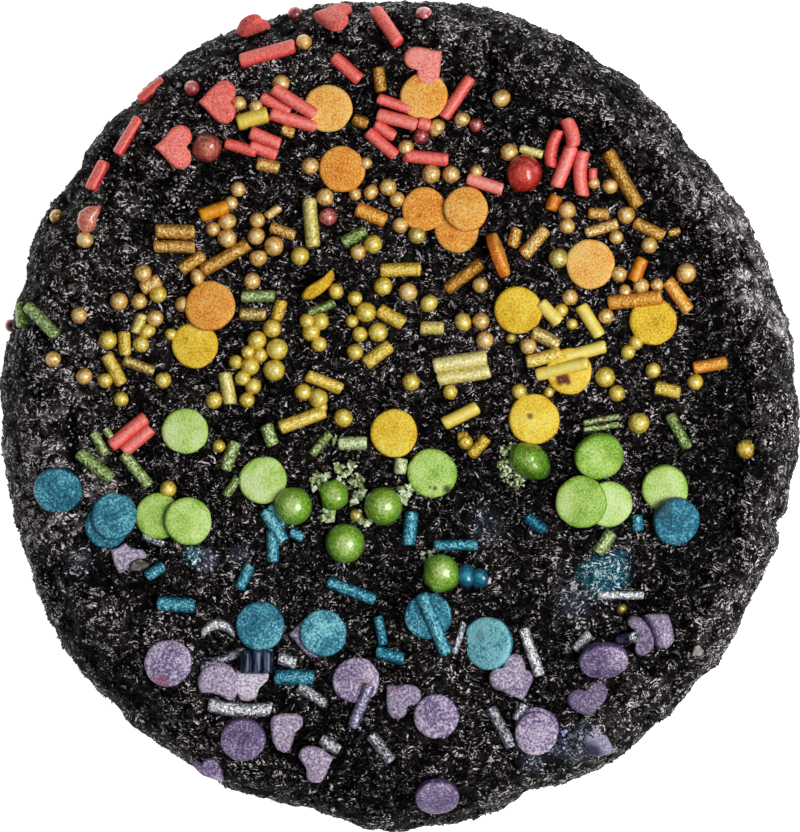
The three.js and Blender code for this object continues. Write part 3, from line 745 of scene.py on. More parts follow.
def padded(rows, width):
    """A table with its short rows filled up with noughts."""
    return np.array([tuple(row) + (0,) * (width - len(row)) for row in rows], float)


def turn_about(axis, degrees):
    """Rotations about unit axes, one for each row: the identity, plus the sine times the axis' cross
    matrix, plus one less the cosine times that matrix squared."""
    x, y, z = np.moveaxis(axis, -1, 0)
    nought = np.zeros_like(x)
    cross = np.stack([nought, -z, y, z, nought, -x, -y, x, nought], -1).reshape(-1, 3, 3)
    angle = np.radians(degrees)[:, None, None]
    return np.eye(3) + np.sin(angle) * cross + (1 - np.cos(angle)) * cross @ cross


def slope_at(x, y, reach_around=1.5):
    """Rotations that take straight up to the way out of the crust at each place."""
    rise_x = crust_height(x + reach_around, y) - crust_height(x - reach_around, y)
    rise_y = crust_height(x, y + reach_around) - crust_height(x, y - reach_around)
    steep = np.hypot(rise_x, rise_y)
    axis = np.stack([rise_y, -rise_x, np.zeros_like(steep)], -1) / np.maximum(steep, 1e-9)[:, None]
    return turn_about(axis, np.degrees(np.arctan(steep / (2 * reach_around))))


def leaning(lean, raised):
    """Rotations by so many degrees that raise the edge facing a heading: about the level axis across it."""
    way = np.radians(raised)
    return turn_about(np.stack([np.sin(way), -np.cos(way), np.zeros_like(way)], -1), lean)


def lie(x, y, thickness, lean, raised, lift, spin):
    """Where sprinkles lie and how they are turned: square to the crust's slope, leaning with one edge
    raised, and spun about their own middle. A share of the thickness is sunk, and the lift is added."""
    across, up = across_up(x, y)
    upright = np.broadcast_to([0.0, 0.0, 1.0], (len(x), 3))
    turn = slope_at(across, up) @ leaning(lean, raised) @ turn_about(upright, spin)
    height = crust_height(across, up) + thickness * (0.5 - SUNK) + lift
    return np.stack([across, up, height], -1), turn


def worn(grid, height, spacing, random):
    """A grid's points pushed out or in by smooth lumps, another stretch of them for each sprinkle."""
    around = np.roll(grid, -1, 2) - np.roll(grid, 1, 2)
    out = np.cross(around, np.gradient(grid, axis=1))
    out /= np.maximum(np.linalg.norm(out, axis=-1, keepdims=True), 1e-9)
    own = grid + random.uniform(0, WEAR_AWAY, (len(grid), 1, 1, 3))
    return grid + out * (height * lump_3d(own / spacing))[..., None]


def worn_twice(grid, height, spacing, random):
    """A grid worn by broad lumps and then by fine ones."""
    return worn(worn(grid, height, spacing, random), FINE_WEAR, FINE_WEAR_SPACING, random)


def strew(name, grid, middle, turn, finish, tones):
    """One piece of many sprinkles. Each is a closed grid of rings, counted upwards, of points counted
    round, and is turned and moved to its place. Its own coordinates and its points' tones are noted for
    the material."""
    count, rings, columns, _ = grid.shape
    local = np.concatenate([grid[:, :1].mean(2), grid.reshape(count, -1, 3), grid[:, -1:].mean(2)], 1)
    points = np.einsum("kij,kpj->kpi", turn, local) + middle[:, None]
    ring = 1 + np.arange(rings * columns).reshape(rings, columns)
    onward = np.roll(ring, -1, axis=1)
    quads = np.stack([ring[:-1], onward[:-1], onward[1:], ring[1:]], -1).reshape(-1, 4)
    low, high = np.zeros(columns, int), np.full(columns, local.shape[1] - 1)
    caps = np.concatenate([
        np.stack([low, onward[0], ring[0]], -1), np.stack([high, ring[-1], onward[-1]], -1)])
    shift = local.shape[1] * np.arange(count)[:, None, None]
    quads, caps = (quads + shift).reshape(-1, 4), (caps + shift).reshape(-1, 3)
    piece = build(name, points.reshape(-1, 3), quads, caps, finish)
    own = local + OWN_APART * np.arange(count)[:, None, None]
    note(piece, "own", own.reshape(-1, 3))
    note(piece, "tone", tones.ravel())
    return piece, points


def stain(piece, points, marks):
    """Notes how stained each point of a piece is, by its marks."""
    note(piece, "stain", marked(points.reshape(-1, 3), marks))


def screen(red, green, blue):
    """A colour given as it looks on a screen, 0 to 255, as the share of light it sends back: the share of
    255, plus the curve's foot and over 1 plus its foot, to the curve's power."""
    return tuple(
        ((value / 255 + SCREEN_FOOT) / (1 + SCREEN_FOOT)) ** SCREEN_POWER for value in (red, green, blue))


def own_noise(made, scale, detail, stretch=(1, 1, 1)):
    """Fractal noise on each sprinkle's own coordinates in mm, its scale in bumps for each mm."""
    away = node(made, "ShaderNodeVectorMath", operation="MULTIPLY")
    away.inputs[1].default_value = stretch
    made.node_tree.links.new(attribute(made, "own", "Vector"), away.inputs[0])
    new = node(made, "ShaderNodeTexNoise", Scale=scale, Detail=detail, Roughness=0.65)
    made.node_tree.links.new(away.outputs[0], new.inputs["Vector"])
    return new.outputs["Fac"]


def sugar(name, dark, middle, light, mottle, scale, roughness, relief_height, stretch=(1, 1, 1), stained=None,
          detail=2.0, broad=0.0, **sockets):
    """The surface of a sprinkle. Its colour runs from dark over middle to light, by fine noise of a
    strength, by broad noise and by the sprinkle's tone, and it has fine relief from the same fine noise. A
    stain colour shows where it is noted."""
    made = material(name, roughness=roughness, **sockets)
    fine = own_noise(made, scale, detail, stretch)
    spread = calculate(made, "MULTIPLY_ADD", fine, mottle, 0.5 - 0.5 * mottle)
    clouds = calculate(made, "MULTIPLY_ADD", own_noise(made, CLOUD_SCALE, 1.0), broad, -broad / 2)
    toned = calculate(made, "MULTIPLY_ADD", attribute(made, "tone"), TONE_GAIN,
                      calculate(made, "ADD", spread, clouds), clamp=True)
    colour = ramp(made, toned, (0.0, dark), (0.5, middle), (1.0, light))
    if stained:
        colour = mixed(made, attribute(made, "stain"), colour, stained)
    wire(made, colour, "Base Color")
    grain(made, fine, relief_height)
    return made


def coin_profile(corner):
    """Shares of the radius and of the thickness from under a flat drop, round its soft edge and in over
    its top."""
    edge = np.linspace(-math.pi / 2, math.pi / 2, 9)
    under, over = np.array([0.35, 0.7]), np.linspace(0.93, 0.08, 10) ** 0.8
    shares = np.concatenate([under, 1 - corner + corner * np.cos(edge) ** EDGE_SQUARER, (1 - corner) * over])
    rise = 0.5 * np.sign(edge) * np.abs(np.sin(edge)) ** EDGE_SQUARER
    heights = np.concatenate([[-0.5, -0.5], rise, np.full(len(over), 0.5)])
    return shares, heights


def coins(rows, random):
    """Grids of round drops: the profile turned about, a little out of round, slightly domed and uneven."""
    shares, heights = coin_profile(COIN_CORNER)
    turn = np.arange(COIN_COLUMNS) / COIN_COLUMNS * 2 * math.pi
    swing = random.uniform(0, 2 * math.pi, (len(rows), len(OUT_OF_ROUND), 1))
    round_share = 1 + sum(
        amount * np.cos(order * turn + swing[:, i]) for i, (order, amount) in enumerate(OUT_OF_ROUND))
    radius = rows[:, 2, None, None] * shares[None, :, None] * round_share[:, None, :]
    dome = CONFETTI_DOME * (1 - shares ** 2) * (heights > 0)
    z = np.broadcast_to((heights * CONFETTI_THICKNESS + dome)[None, :, None], radius.shape)
    grid = np.stack([radius * np.cos(turn), radius * np.sin(turn), z], -1)
    return worn_twice(grid, COIN_WEAR, COIN_WEAR_SPACING, random)


def edge_shade(corner, edge_darker, side_darker=0, side=COIN_SIDE):
    """How much darker each ring of a flat drop's grid is painted: by a share towards its edge, partly painted
    shade on the soft edge and partly the drop's deeper colour there, and by another down its side, from a
    height on, which is painted shade."""
    shares, heights = coin_profile(corner)
    top, span = side
    edge = np.clip((shares - EDGE_FROM) / (1 - EDGE_FROM), 0, 1)
    return edge_darker * edge + side_darker * np.clip((top - heights) / span, 0, 1)


def shaded(tones, darker):
    """The tone of every point of a kind of grids: the sprinkle's own, less how much darker each point of
    the grid is. darker has a row for each ring."""
    along = np.concatenate([[darker[0].mean()], darker.ravel(), [darker[-1].mean()]])
    return tones[:, None] - along[None]


def confetti(name, table, finish, seed, edge_darker, marks=()):
    """A colour of confetti, laid on the crust. Its edges are darker by so much tone, partly as painted shade.
    """
    random = np.random.default_rng(seed)
    rows = padded(table, 7)
    middle, turn = lie(rows[:, 0], rows[:, 1], CONFETTI_THICKNESS, rows[:, 3], rows[:, 4], rows[:, 5],
                       random.uniform(0, 360, len(rows)))
    darker = edge_shade(COIN_CORNER, edge_darker, SIDE_DARKER)
    tones = shaded(rows[:, 6], np.repeat(darker[:, None], COIN_COLUMNS, 1))
    piece, points = strew(name, coins(rows, random), middle, turn, finish, tones)
    stain(piece, points, marks)


CHALKY = dict(Specular_IOR_Level=0.35)
confetti("confetti_orange", ORANGE_CONFETTI, sugar(
    "orange_sugar", screen(200, 98, 8), screen(248, 160, 44), screen(255, 218, 130), 3.0, 4.4, 0.62, 0.14,
    stained=screen(120, 50, 12), detail=5.0, broad=0.6, **CHALKY), 21, -0.3,
    [(500, 244, 0.4, 0.5), (496, 262, 0.35, 0.6), (452, 236, 0.25, 0.5), (419, 216, 0.22, 0.9)])
YELLOW_FINISH = sugar(
    "yellow_sugar", screen(186, 130, 4), screen(246, 202, 34), screen(255, 240, 116), 2.6, 4.4, 0.6, 0.12,
    stained=screen(110, 40, 18), detail=5.0, broad=0.8, **CHALKY)
confetti("confetti_yellow", YELLOW_CONFETTI, YELLOW_FINISH, 22, 0.3,
    [(560, 381, 0.55, 1), (565, 377, 0.6, 1), (568, 382, 0.4, 0.9), (558, 377, 0.35, 0.8),
     (530, 416, 0.42, 0.9), (187, 338, 0.2, 0.5), (200, 352, 0.2, 0.5), (204, 340, 0.2, 0.5),
     (190, 352, 0.15, 0.5), (208, 350, 0.15, 0.5)])
confetti("confetti_green", GREEN_CONFETTI, sugar(
    "green_sugar", screen(108, 160, 26), screen(188, 226, 110), screen(232, 248, 192), 2.3, 4.4, 0.6, 0.14,
    stained=screen(40, 40, 16), detail=5.0, broad=1.0, **CHALKY), 23, 0.8, [
    (435, 488, 0.28, 1), (447, 489, 0.55, 0.95), (430, 487, 0.2, 0.8)])
confetti("confetti_blue", BLUE_CONFETTI, sugar(
    "blue_sugar", screen(2, 56, 84), screen(26, 132, 160), screen(150, 224, 234), 2.7, 3.2, 0.4, 0.22,
    stained=screen(10, 40, 58), detail=4.0, broad=1.0, Metallic=0.1), 24, -0.1,
    [(663, 508, 1.3, 0.7), (480, 636, 0.7, 0.4)])
PURPLE_FINISH = sugar(
    "purple_sugar", screen(60, 39, 87), screen(120, 100, 145), screen(228, 212, 232), 2.6, 3.2, 0.55, 0.16,
    stained=screen(150, 70, 90), detail=4.0, broad=0.8)
confetti("confetti_purple", PURPLE_CONFETTI, PURPLE_FINISH, 25, -0.2,
         [(160, 682, 1.0, 0.7), (365, 685, 1.0, 0.5)])


# Broken and odd ones: lift, lean, heading of the raised edge, thickness, dome, tone, and then in pixels
# the middle and the outline, clockwise
HALF_MOON = [(0.5, 0, 0, 2.4, 0.3, -0.6, [
    (318, 285), (301, 295), (306, 288), (317, 281), (326, 275), (332, 268), (335, 276), (331, 285),
    (320, 295), (310, 300), (302, 299)])]
HALF_DROP = [(0.9, 38, 62, 1.3, 0.1, 0.2, [
    (210, 768), (192, 764), (196, 760), (202, 763), (206, 756), (213, 754), (220, 757), (223, 765),
    (224, 777), (222, 782), (215, 779), (205, 776), (197, 771)])]
SUNKEN_DROP = [(0.5, 22, 121, 1.3, 0.2, 0.2, [
    (597, 741), (582, 738), (584, 731), (592, 725), (602, 727), (608, 738), (614, 749), (609, 754),
    (598, 757), (587, 754)])]
CHIP_COLUMNS = 72
CHIP_SOFTENINGS = 2
PRESSED_CORNER = 0.2         # as COIN_CORNER, for what is pressed to an outline
CHIP_SIDE = (0.25, 0.5)
CHIP_WEAR, CHIP_WEAR_SPACING = 0.06, 1.2


def evenly(ring, columns):
    """Points that run evenly round a closed ring of corners."""
    closed = np.concatenate([ring, ring[:1]])
    walked = np.concatenate([[0], np.cumsum(np.linalg.norm(np.diff(closed, axis=0), axis=1))])
    at = np.arange(columns) / columns * walked[-1]
    return np.stack([np.interp(at, walked, closed[:, i]) for i in (0, 1)], -1)


def softened(ring, times):
    """A closed ring of points, each drawn towards its neighbours so many times."""
    for _ in range(times):
        ring = (np.roll(ring, 1, 0) + 2 * ring + np.roll(ring, -1, 0)) / 4
    return ring


def pressed(ring, thickness, dome):
    """The grid of a flat pressed piece: its outline drawn in by the flat drop's profile, and a domed top."""
    shares, heights = coin_profile(PRESSED_CORNER)
    z = heights * thickness + dome * (1 - shares ** 2) * (heights > 0)
    flat = ring[None] * shares[:, None, None]
    return np.concatenate([flat, np.broadcast_to(z[:, None, None], (*flat.shape[:2], 1))], -1)


def chips(name, table, finish, seed, edge_darker=0.4, marks=()):
    """Pieces pressed to outlines of their own. They lie level but for their lean."""
    random = np.random.default_rng(seed)
    grids = []
    for *_, thickness, dome, tone, places in table:
        x, y = across_up(*np.array(places, float).T)
        ring = np.stack([x[1:] - x[0], y[1:] - y[0]], -1)[::-1]
        grids.append(pressed(softened(evenly(ring, CHIP_COLUMNS), CHIP_SOFTENINGS), thickness, dome))
    rows = np.array([row[:6] + row[6][0] for row in table], float)
    grid = worn_twice(np.stack(grids), CHIP_WEAR, CHIP_WEAR_SPACING, random)
    across, up = across_up(rows[:, 6], rows[:, 7])
    middle = np.stack([across, up, crust_height(across, up) + rows[:, 3] * (0.5 - SUNK) + rows[:, 0]], -1)
    darker = edge_shade(PRESSED_CORNER, edge_darker, SIDE_DARKER, CHIP_SIDE)
    tones = shaded(rows[:, 5], np.repeat(darker[:, None], CHIP_COLUMNS, 1))
    piece, points = strew(name, grid, middle, leaning(rows[:, 1], rows[:, 2]), finish, tones)
    stain(piece, points, marks)


chips("confetti_half_moon", HALF_MOON, YELLOW_FINISH, 26)
chips("confetti_half", HALF_DROP, PURPLE_FINISH, 27)
chips("confetti_sunken", SUNKEN_DROP, sugar(
    "bluish_sugar", screen(76, 70, 108), screen(134, 130, 160), screen(210, 206, 226), 2.0, 3.0, 0.5, 0.14,
    stained=screen(26, 32, 66), detail=4.0), 28, 0.2, [(588, 750, 1.3, 0.9), (597, 756, 1.2, 0.7)])

# --------------------------------------------------------------------------------------------------- hearts
# Pressed sugar hearts about 5 mm wide and 1.5 mm thick, matte with pillowed edges, coral among the red and
# lavender among the purple. They lie sunk and baked fast like the confetti; a few lean, and some are broken.

HEART_THICKNESS, HEART_DOME = 1.5, 0.18
HEART_WIDTH = 5.5
HEART_BROAD, HEART_LONG = 16, (13.4, -4.5, -1.8, -0.8)     # the curve's sizes, in its own units
HEART_MIDDLE, HEART_UNITS = 2, 31.5                        # where its middle is, and how wide it is
HEART_SOFTENINGS = 6
HEART_COLUMNS = 72
HEART_WEAR, HEART_WEAR_SPACING = 0.09, 1.7
HEART_DARKER = 0.4           # how much darker the pillowed edges are, in tone, partly painted shade

# x, y, heading of the tip, how far it leans, heading of its raised edge, lift, tone, size
CORAL_HEARTS = [
    (332, 17, 175, 0, 0, 0, 0, 1.0), (217, 102, 180, 0, 0, 0.1, 0, 1.0),
    (173, 147, 180, 6, 180, 0.4, 0.3, 1.0), (250, 29, 200, 50, 291, 0.5, -0.5, 0.95),
    (427, 62, 37, 0, 0, 0.8, 0.8, 1.0),
]
LAVENDER_HEARTS = [
    (307, 635, 178, 0, 0, 0, -0.1, 1.0), (399, 697, 135, 0, 0, 0, -0.3, 0.93),
    (518, 687, 290, 0, 0, 0, -0.4, 0.8), (512, 677, 315, 10, 270, 0.6, 0.1, 0.97),
    (590, 703, 290, 5, 180, 0, -1.1, 0.96),
]
# lift, lean, heading of the raised edge, thickness, dome, tone, then in pixels the middle and the outline
LAVENDER_CHIPS = [
    (0, 0, 0, 1.4, 0.15, 0.1, [
        (125, 556), (110, 549), (118, 547), (125, 542), (129, 547), (136, 549), (143, 549), (147, 555),
        (145, 559), (139, 558), (131, 562), (125, 571), (119, 574), (114, 565)]),
    (0.1, 0, 0, 1.5, 0.2, 0.1, [
        (219, 681), (197, 684), (198, 676), (202, 669), (210, 664), (221, 662), (231, 666), (237, 673),
        (239, 686), (237, 696), (231, 701), (225, 698), (220, 695), (211, 693), (200, 692)]),
    (0, 0, 0, 1.3, 0.1, 0.9, [
        (249, 685), (236, 669), (243, 672), (253, 673), (269, 673), (268, 680), (259, 688), (256, 698),
        (248, 701), (240, 700), (236, 690)]),
    (0, 0, 0, 1.4, 0.15, 0.1, [
        (285, 730), (270, 722), (272, 716), (281, 713), (296, 713), (303, 717), (303, 726), (294, 734),
        (293, 742), (290, 750), (284, 753), (276, 749), (272, 740)]),
    (0, 0, 0, 1.5, 0.15, 0, [
        (318, 762), (298, 755), (301, 748), (309, 745), (318, 747), (326, 752), (334, 757), (330, 765),
        (326, 775), (321, 782), (314, 783), (307, 779), (306, 767), (301, 761)]),
    (0.9, 0, 0, 2.0, 0.1, -0.9, [
        (643, 635), (627, 619), (632, 615), (641, 617), (650, 628), (654, 640), (653, 649), (643, 656),
        (635, 654), (634, 647), (637, 641), (636, 634), (633, 628), (627, 625)]),
    (0.4, 18, 200, 2.2, 0.7, -0.3, [
        (658, 631), (642, 615), (652, 613), (667, 614), (671, 626), (673, 641), (668, 648), (661, 649),
        (655, 646), (652, 634), (647, 623)]),
]


def heart_outline(columns):
    """A plump heart curve with its tip along +X: broad by a sine cubed, and long by the cosines of one,
    two, three and four times the angle."""
    t = np.arange(400) / 400 * 2 * math.pi
    broad = -HEART_BROAD * np.sin(t) ** 3
    long = sum(amount * np.cos(order * t) for order, amount in enumerate(HEART_LONG, 1))
    curve = np.stack([-long - HEART_MIDDLE, broad], -1) * (HEART_WIDTH / HEART_UNITS)
    return softened(evenly(curve, columns), HEART_SOFTENINGS)


def hearts(name, table, finish, seed, marks):
    """A colour of hearts, laid on the crust."""
    random = np.random.default_rng(seed)
    rows = padded(table, 8)
    x, y, tip, lean, raised, lift, tones, size = rows.T
    middle, turn = lie(x, y, HEART_THICKNESS, lean, raised, lift, tip)
    plain = pressed(heart_outline(HEART_COLUMNS), HEART_THICKNESS, HEART_DOME)
    grid = worn_twice(plain[None] * size[:, None, None, None], HEART_WEAR, HEART_WEAR_SPACING, random)
    darker = edge_shade(PRESSED_CORNER, HEART_DARKER)
    tones = shaded(tones, np.repeat(darker[:, None], HEART_COLUMNS, 1))
    piece, points = strew(name, grid, middle, turn, finish, tones)
    stain(piece, points, marks)


hearts("hearts_coral", CORAL_HEARTS, sugar(
    "coral_sugar", screen(200, 50, 50), screen(252, 118, 106), screen(255, 180, 168), 2.5, 4.0, 0.6, 0.14,
    stained=screen(150, 30, 40), detail=5.0, **CHALKY), 31, [])
LAVENDER_FINISH = sugar(
    "lavender_sugar", screen(84, 68, 106), screen(164, 148, 177), screen(244, 234, 246), 2.8, 3.2, 0.6, 0.16,
    stained=screen(120, 50, 70), detail=4.0)
hearts("hearts_lavender", LAVENDER_HEARTS, LAVENDER_FINISH, 32, [(392, 689, 0.25, 0.9), (398, 687, 0.3, 0.9)])
chips("hearts_broken", LAVENDER_CHIPS, LAVENDER_FINISH, 33, 0.3,
      [(289, 742, 0.7, 0.35), (247, 697, 0.6, 0.2)])

# ---------------------------------------------------------------------------------------------------- beads
# Glossy sugar beads up to 5 mm across, green with a few red, brown and blue: hard shells with the skin of an
# orange. Some are squashed or dented, one has melted to a droplet, and all sit in the crust like the rest.

BEAD_RINGS, BEAD_COLUMNS = 26, 48
SMALL_BEAD_RINGS, SMALL_BEAD_COLUMNS = 18, 32
DENT_SPACING = 1.3
BALL_DARKER = 1.4            # painted shade: how much darker a ball is below its middle, in tone
BALL_HIGHLIGHT = 1.0           # painted highlight: how much lighter its top is, in tone
HIGHLIGHT_FROM = 0.76           # the share of its height at which that starts

# x, y, radius, share of its height, long over short, heading of its long side, dent, tone, lift
RED_BEADS = [(524, 173, 2.35, 1, 1.04, 90, 0.14, 0)]
BROWN_BEADS = [(207, 148, 1.85, 1, 1, 0, 0.16, -0.5)]
BROWN_DROPLET = [(0.4, 0, 0, 2.2, 0.6, 0.5, [
    (88, 219), (77, 223), (79, 212), (87, 206), (102, 205), (100, 213), (97, 219), (97, 226), (92, 232),
    (84, 233), (79, 229)])]
GREEN_BEADS = [
    (293, 506, 2.42, 1, 1, 0, 0.02, 0), (383, 506, 2.42, 1, 1, 0, 0.02, 0),
    (345, 543, 2.5, 1, 1, 0, 0.02, 0.1), (334, 495, 1.95, 0.75, 1.12, 120, 0.32, -0.2),
    (529, 461, 2.45, 0.75, 1.38, -36, 0.32, -0.6), (441, 573, 2.35, 0.95, 1.02, 50, 0.28, 0.1),
]
BLUE_BEADS = [(466, 575, 1.4, 1, 1.12, 80, 0.2, 0.1), (479, 578, 1.3, 1, 1.12, 100, 0.22, -0.1)]


def ball_rings(rings):
    """The angles above a ball's middle at which its rings lie, half a step in from either pole."""
    return (np.arange(rings) + 0.5) / rings * math.pi - math.pi / 2


def ball_grids(rows, rings, columns):
    """Grids of unit balls times their radius, stretched one way and pressed flat."""
    angle = ball_rings(rings)[:, None]
    turn = np.arange(columns) / columns * 2 * math.pi
    height = np.broadcast_to(np.sin(angle), (rings, columns))
    unit = np.stack([np.cos(angle) * np.cos(turn), np.cos(angle) * np.sin(turn), height], -1)
    long = np.sqrt(rows[:, 4])
    stretch = np.stack([rows[:, 2] * long, rows[:, 2] / long, rows[:, 2] * rows[:, 3]], -1)
    return unit[None] * stretch[:, None, None]


def painted_highlight_and_shade(height, darker, lighter):
    """How much darker a round sprinkle is painted at each height, -1 to 1: painted shade by the square of the
    way down from its top, and a painted highlight, lighter near the top itself."""
    lit_top = eased(np.clip((height - HIGHLIGHT_FROM) / (1 - HIGHLIGHT_FROM), 0, 1))
    return darker * (1 - np.clip(height, 0, 1)) ** 2 - lighter * lit_top


def balls(name, table, finish, seed, rings, columns, skin, skin_spacing):
    """Balls of a kind, laid on the crust: broad dents of their own depth, and a skin of fine lumps."""
    random = np.random.default_rng(seed)
    rows = padded(table, 9)
    nought = np.zeros(len(rows))
    thickness = 2 * rows[:, 2] * rows[:, 3]
    middle, turn = lie(rows[:, 0], rows[:, 1], thickness, nought, nought, rows[:, 8], rows[:, 5])
    dented = worn(ball_grids(rows, rings, columns), rows[:, 6, None, None], DENT_SPACING, random)
    # Painted shade below the middle and a painted highlight on top, in tone.
    darker = painted_highlight_and_shade(np.sin(ball_rings(rings)), BALL_DARKER, BALL_HIGHLIGHT)
    tones = shaded(rows[:, 7], np.repeat(darker[:, None], columns, 1))
    return strew(name, worn(dented, skin, skin_spacing, random), middle, turn, finish, tones)


def shell(name, dark, middle, light, skin_height):
    """A glossy sugar shell: deep colour under a coat, with the skin of an orange."""
    return sugar(name, dark, middle, light, 1.5, 2.8, 0.34, skin_height, detail=3.0, Coat_Weight=1.0,
                 Coat_Roughness=0.14, Coat_IOR=1.6)


balls("beads_red", RED_BEADS, shell(
    "red_shell", screen(110, 2, 2), screen(198, 18, 16), screen(250, 110, 86), 0.3),
    41, BEAD_RINGS, BEAD_COLUMNS, 0.04, 0.5)
BROWN_SHELL = shell("brown_shell", screen(92, 18, 12), screen(204, 91, 71), screen(252, 182, 154), 0.3)
balls("beads_brown", BROWN_BEADS, BROWN_SHELL, 44, BEAD_RINGS, BEAD_COLUMNS, 0.05, 0.5)
chips("bead_droplet", BROWN_DROPLET, BROWN_SHELL, 45)
balls("beads_green", GREEN_BEADS, shell(
    "green_shell", screen(38, 90, 0), screen(122, 178, 4), screen(224, 246, 156), 0.34),
    42, BEAD_RINGS, BEAD_COLUMNS, 0.015, 0.4)
balls("beads_blue", BLUE_BEADS, shell(
    "blue_shell", screen(0, 38, 66), screen(0, 84, 114), screen(18, 156, 186), 0.08),
    43, SMALL_BEAD_RINGS, SMALL_BEAD_COLUMNS, 0.02, 0.4)

# ----------------------------------------------------------------------------------------------------- rods
# Short sugar rods, 1 to 2 mm thick and up to 8 mm long, cut or broken off square. Coral, butter and amber
# ones are satin, navy ones glazed, and the others coated with glitter that has dried into a hammered skin.
# Many lie in pairs or over one another.

ROD_COLUMNS = 18
ROD_STEP = 0.28              # mm between the rings of a rod
END_ROUNDING = 0.4
END_STEPS = np.array([0, 0.15, 0.45])                      # where the rings of a round end lie, in roundings
END_SHARES = np.array([0.5, 0.84, 0.95])                   # and their share of the rod's thickness
ROD_OVAL = 0.03
ANY_SWING = 6.28             # a full turn, in radians
ROD_SWAY, SWAY_RATE = 0.02, 1.1
ROD_DARKER = 1.5             # how much darker a rod is below its middle, in tone: painted shade, with its sides' deeper colour
ROD_HIGHLIGHT = 0.5            # painted highlight: how much lighter its top is
BREAK_HEIGHT = 0.09          # how uneven the broken ends are
BREAK_LUMPS = [0.1, 1.6, 1.6]                              # lumps for each mm along, across and up
BREAK_REACH, BREAK_SLANT = 0.25, 0.12

# the two ends x1, y1, x2, y2, thickness in mm, lift of each end, tone, bow sideways in mm
CORAL_RODS = [
    (240, 61, 295, 46, 1.85), (375, 6, 399, 47, 1.8, 0.9, 0.3), (333, 56, 360, 80, 1.75, 0, 0, -0.1),
    (140, 101, 163, 79, 1.6, 2.1, 1.9), (138, 117, 118, 155, 1.5, 0.5, 0.5),
    (104, 161, 91, 190, 1.6, 1.2, 1.2), (261, 96, 290, 112, 1.5),
    (270, 113, 316, 127, 1.7, 0.2, 0.2, 0.2), (273, 88, 315, 115, 1.7, 1, 1, 0.1),
    (225, 143, 256, 152, 1.5, 0, 0, -0.2), (249, 145, 277, 155, 1.6),
    (250, 132, 280, 145, 1.7, 0.6, 0.6, 0.1), (377, 98, 411, 109, 1.4, 0.2, 0.2),
    (367, 131, 396, 156, 1.6), (377, 114, 417, 125, 1.75, 0.6, 0.6, 0.3),
    (418, 122, 430, 126, 1.6, 0.3, 0.3, 0.2), (375, 123, 395, 137, 1.5, 0.2, 0.2),
    (404, 156, 410, 160, 1.2), (405, 155, 448, 160, 1.65, 0.2, 0.2),
    (471, 77, 443, 118, 1.65, 0, 0, -0.1), (467, 178, 503, 190, 1.65, 0, 0, 0.8),
    (565, 119, 573, 148, 1.9, 0.7, 0.7, 0, 0.35), (560, 130, 551, 167, 1.6, 0.1, 0, -0.7, -0.5),
    (572, 146, 556, 187, 1.75, 0.2, 0.2, 0.4), (584, 151, 583, 196, 1.75, 0, 0, 0.1, -0.45),
    (593, 168, 593, 180, 1.15), (110, 446, 146, 417, 1.75, 0, 0, 0.1),
    (123, 452, 151, 428, 1.75, 0, 0, 0.2),
]
GOLD_RODS = [
    (378, 67, 381, 92, 1.6, 0, 0, -0.3), (353, 119, 368, 124, 1.6, 0, 0, -0.7),
    (256, 163, 279, 168, 1.75, 0, 0, 0.1), (281, 128, 294, 134, 1.4),
    (607, 151, 638, 207, 1.9, 0, 0, -0.4), (155, 231, 195, 232, 1.85), (153, 246, 195, 247, 1.65),
    (202, 271, 248, 244, 1.75, 0.2, 0.2, -0.3), (180, 270, 204, 254, 1.65, 0, 0, -0.1),
    (141, 289, 160, 279, 1.75, 0, 0, 0.4), (266, 217, 280, 207, 1.15, 0.3, 0.3, 0.8),
    (270, 226, 295, 236, 1.5, 0, 0, 0.1), (517, 228, 512, 247, 1.5),
    (546, 228, 523, 256, 1.75, 0, 0, 0.4), (482, 262, 446, 290, 1.65, 0, 0, -0.7),
    (588, 213, 609, 214, 1.5), (585, 233, 618, 223, 1.5, 0, 0, 0.5),
    (634, 222, 664, 236, 1.7, 0, 0, -0.1), (668, 234, 680, 230, 1.0),
]
ORANGE_RODS = [
    (356, 208, 386, 221, 1.85, 0, 0, 0.1), (608, 303, 662, 297, 1.85, 0, 0.9, 0.1),
    (667, 280, 689, 311, 1.75, 0, 0, 0.4), (693, 368, 727, 362, 1.6, 0, 0, -0.1),
]
YELLOW_RODS = [
    (380, 270, 421, 269, 1.75, 0, 0, -0.1), (365, 364, 391, 345, 1.85, 0, 0, 0),
    (282, 300, 276, 320, 1.6, 0, 0, -0.6), (306, 375, 342, 389, 1.65, 0, 0, 0),
    (378, 309, 404, 324, 1.8, 0, 0, -0.2), (526, 362, 561, 353, 1.75, 0, 0, 0.3),
    (655, 387, 680, 393, 1.75), (279, 428, 325, 411, 1.75, 0, 0, 0.2),
    (470, 456, 487, 437, 1.5, 0, 0, -0.7), (457, 437, 468, 436, 1.3, 0, 0, -0.8),
    (106, 354, 122, 384, 1.75, 0, 0, 0), (124, 331, 125, 355, 1.6),
]
BUTTER_RODS = [
    (580, 305, 600, 336, 1.75, 0, 0, 0.2), (540, 302, 559, 323, 1.7, 0.3, 0.3, 0.2),
    (564, 357, 606, 346, 1.65, 0, 0, 0.4), (536, 375, 588, 362, 1.65, 0, 1.0, 0.3),
    (443, 424, 478, 407, 1.75, 0, 0, -0.1), (237, 123, 268, 114, 2.05, 0, 0, -0.5),
]
AMBER_RODS = [
    (200, 216, 227, 206, 1.9, 0, 0, 0.4), (643, 258, 633, 281, 1.65, 0, 0, 0.1),
    (557, 195, 550, 210, 1.75, 0, 0, -0.4),
]
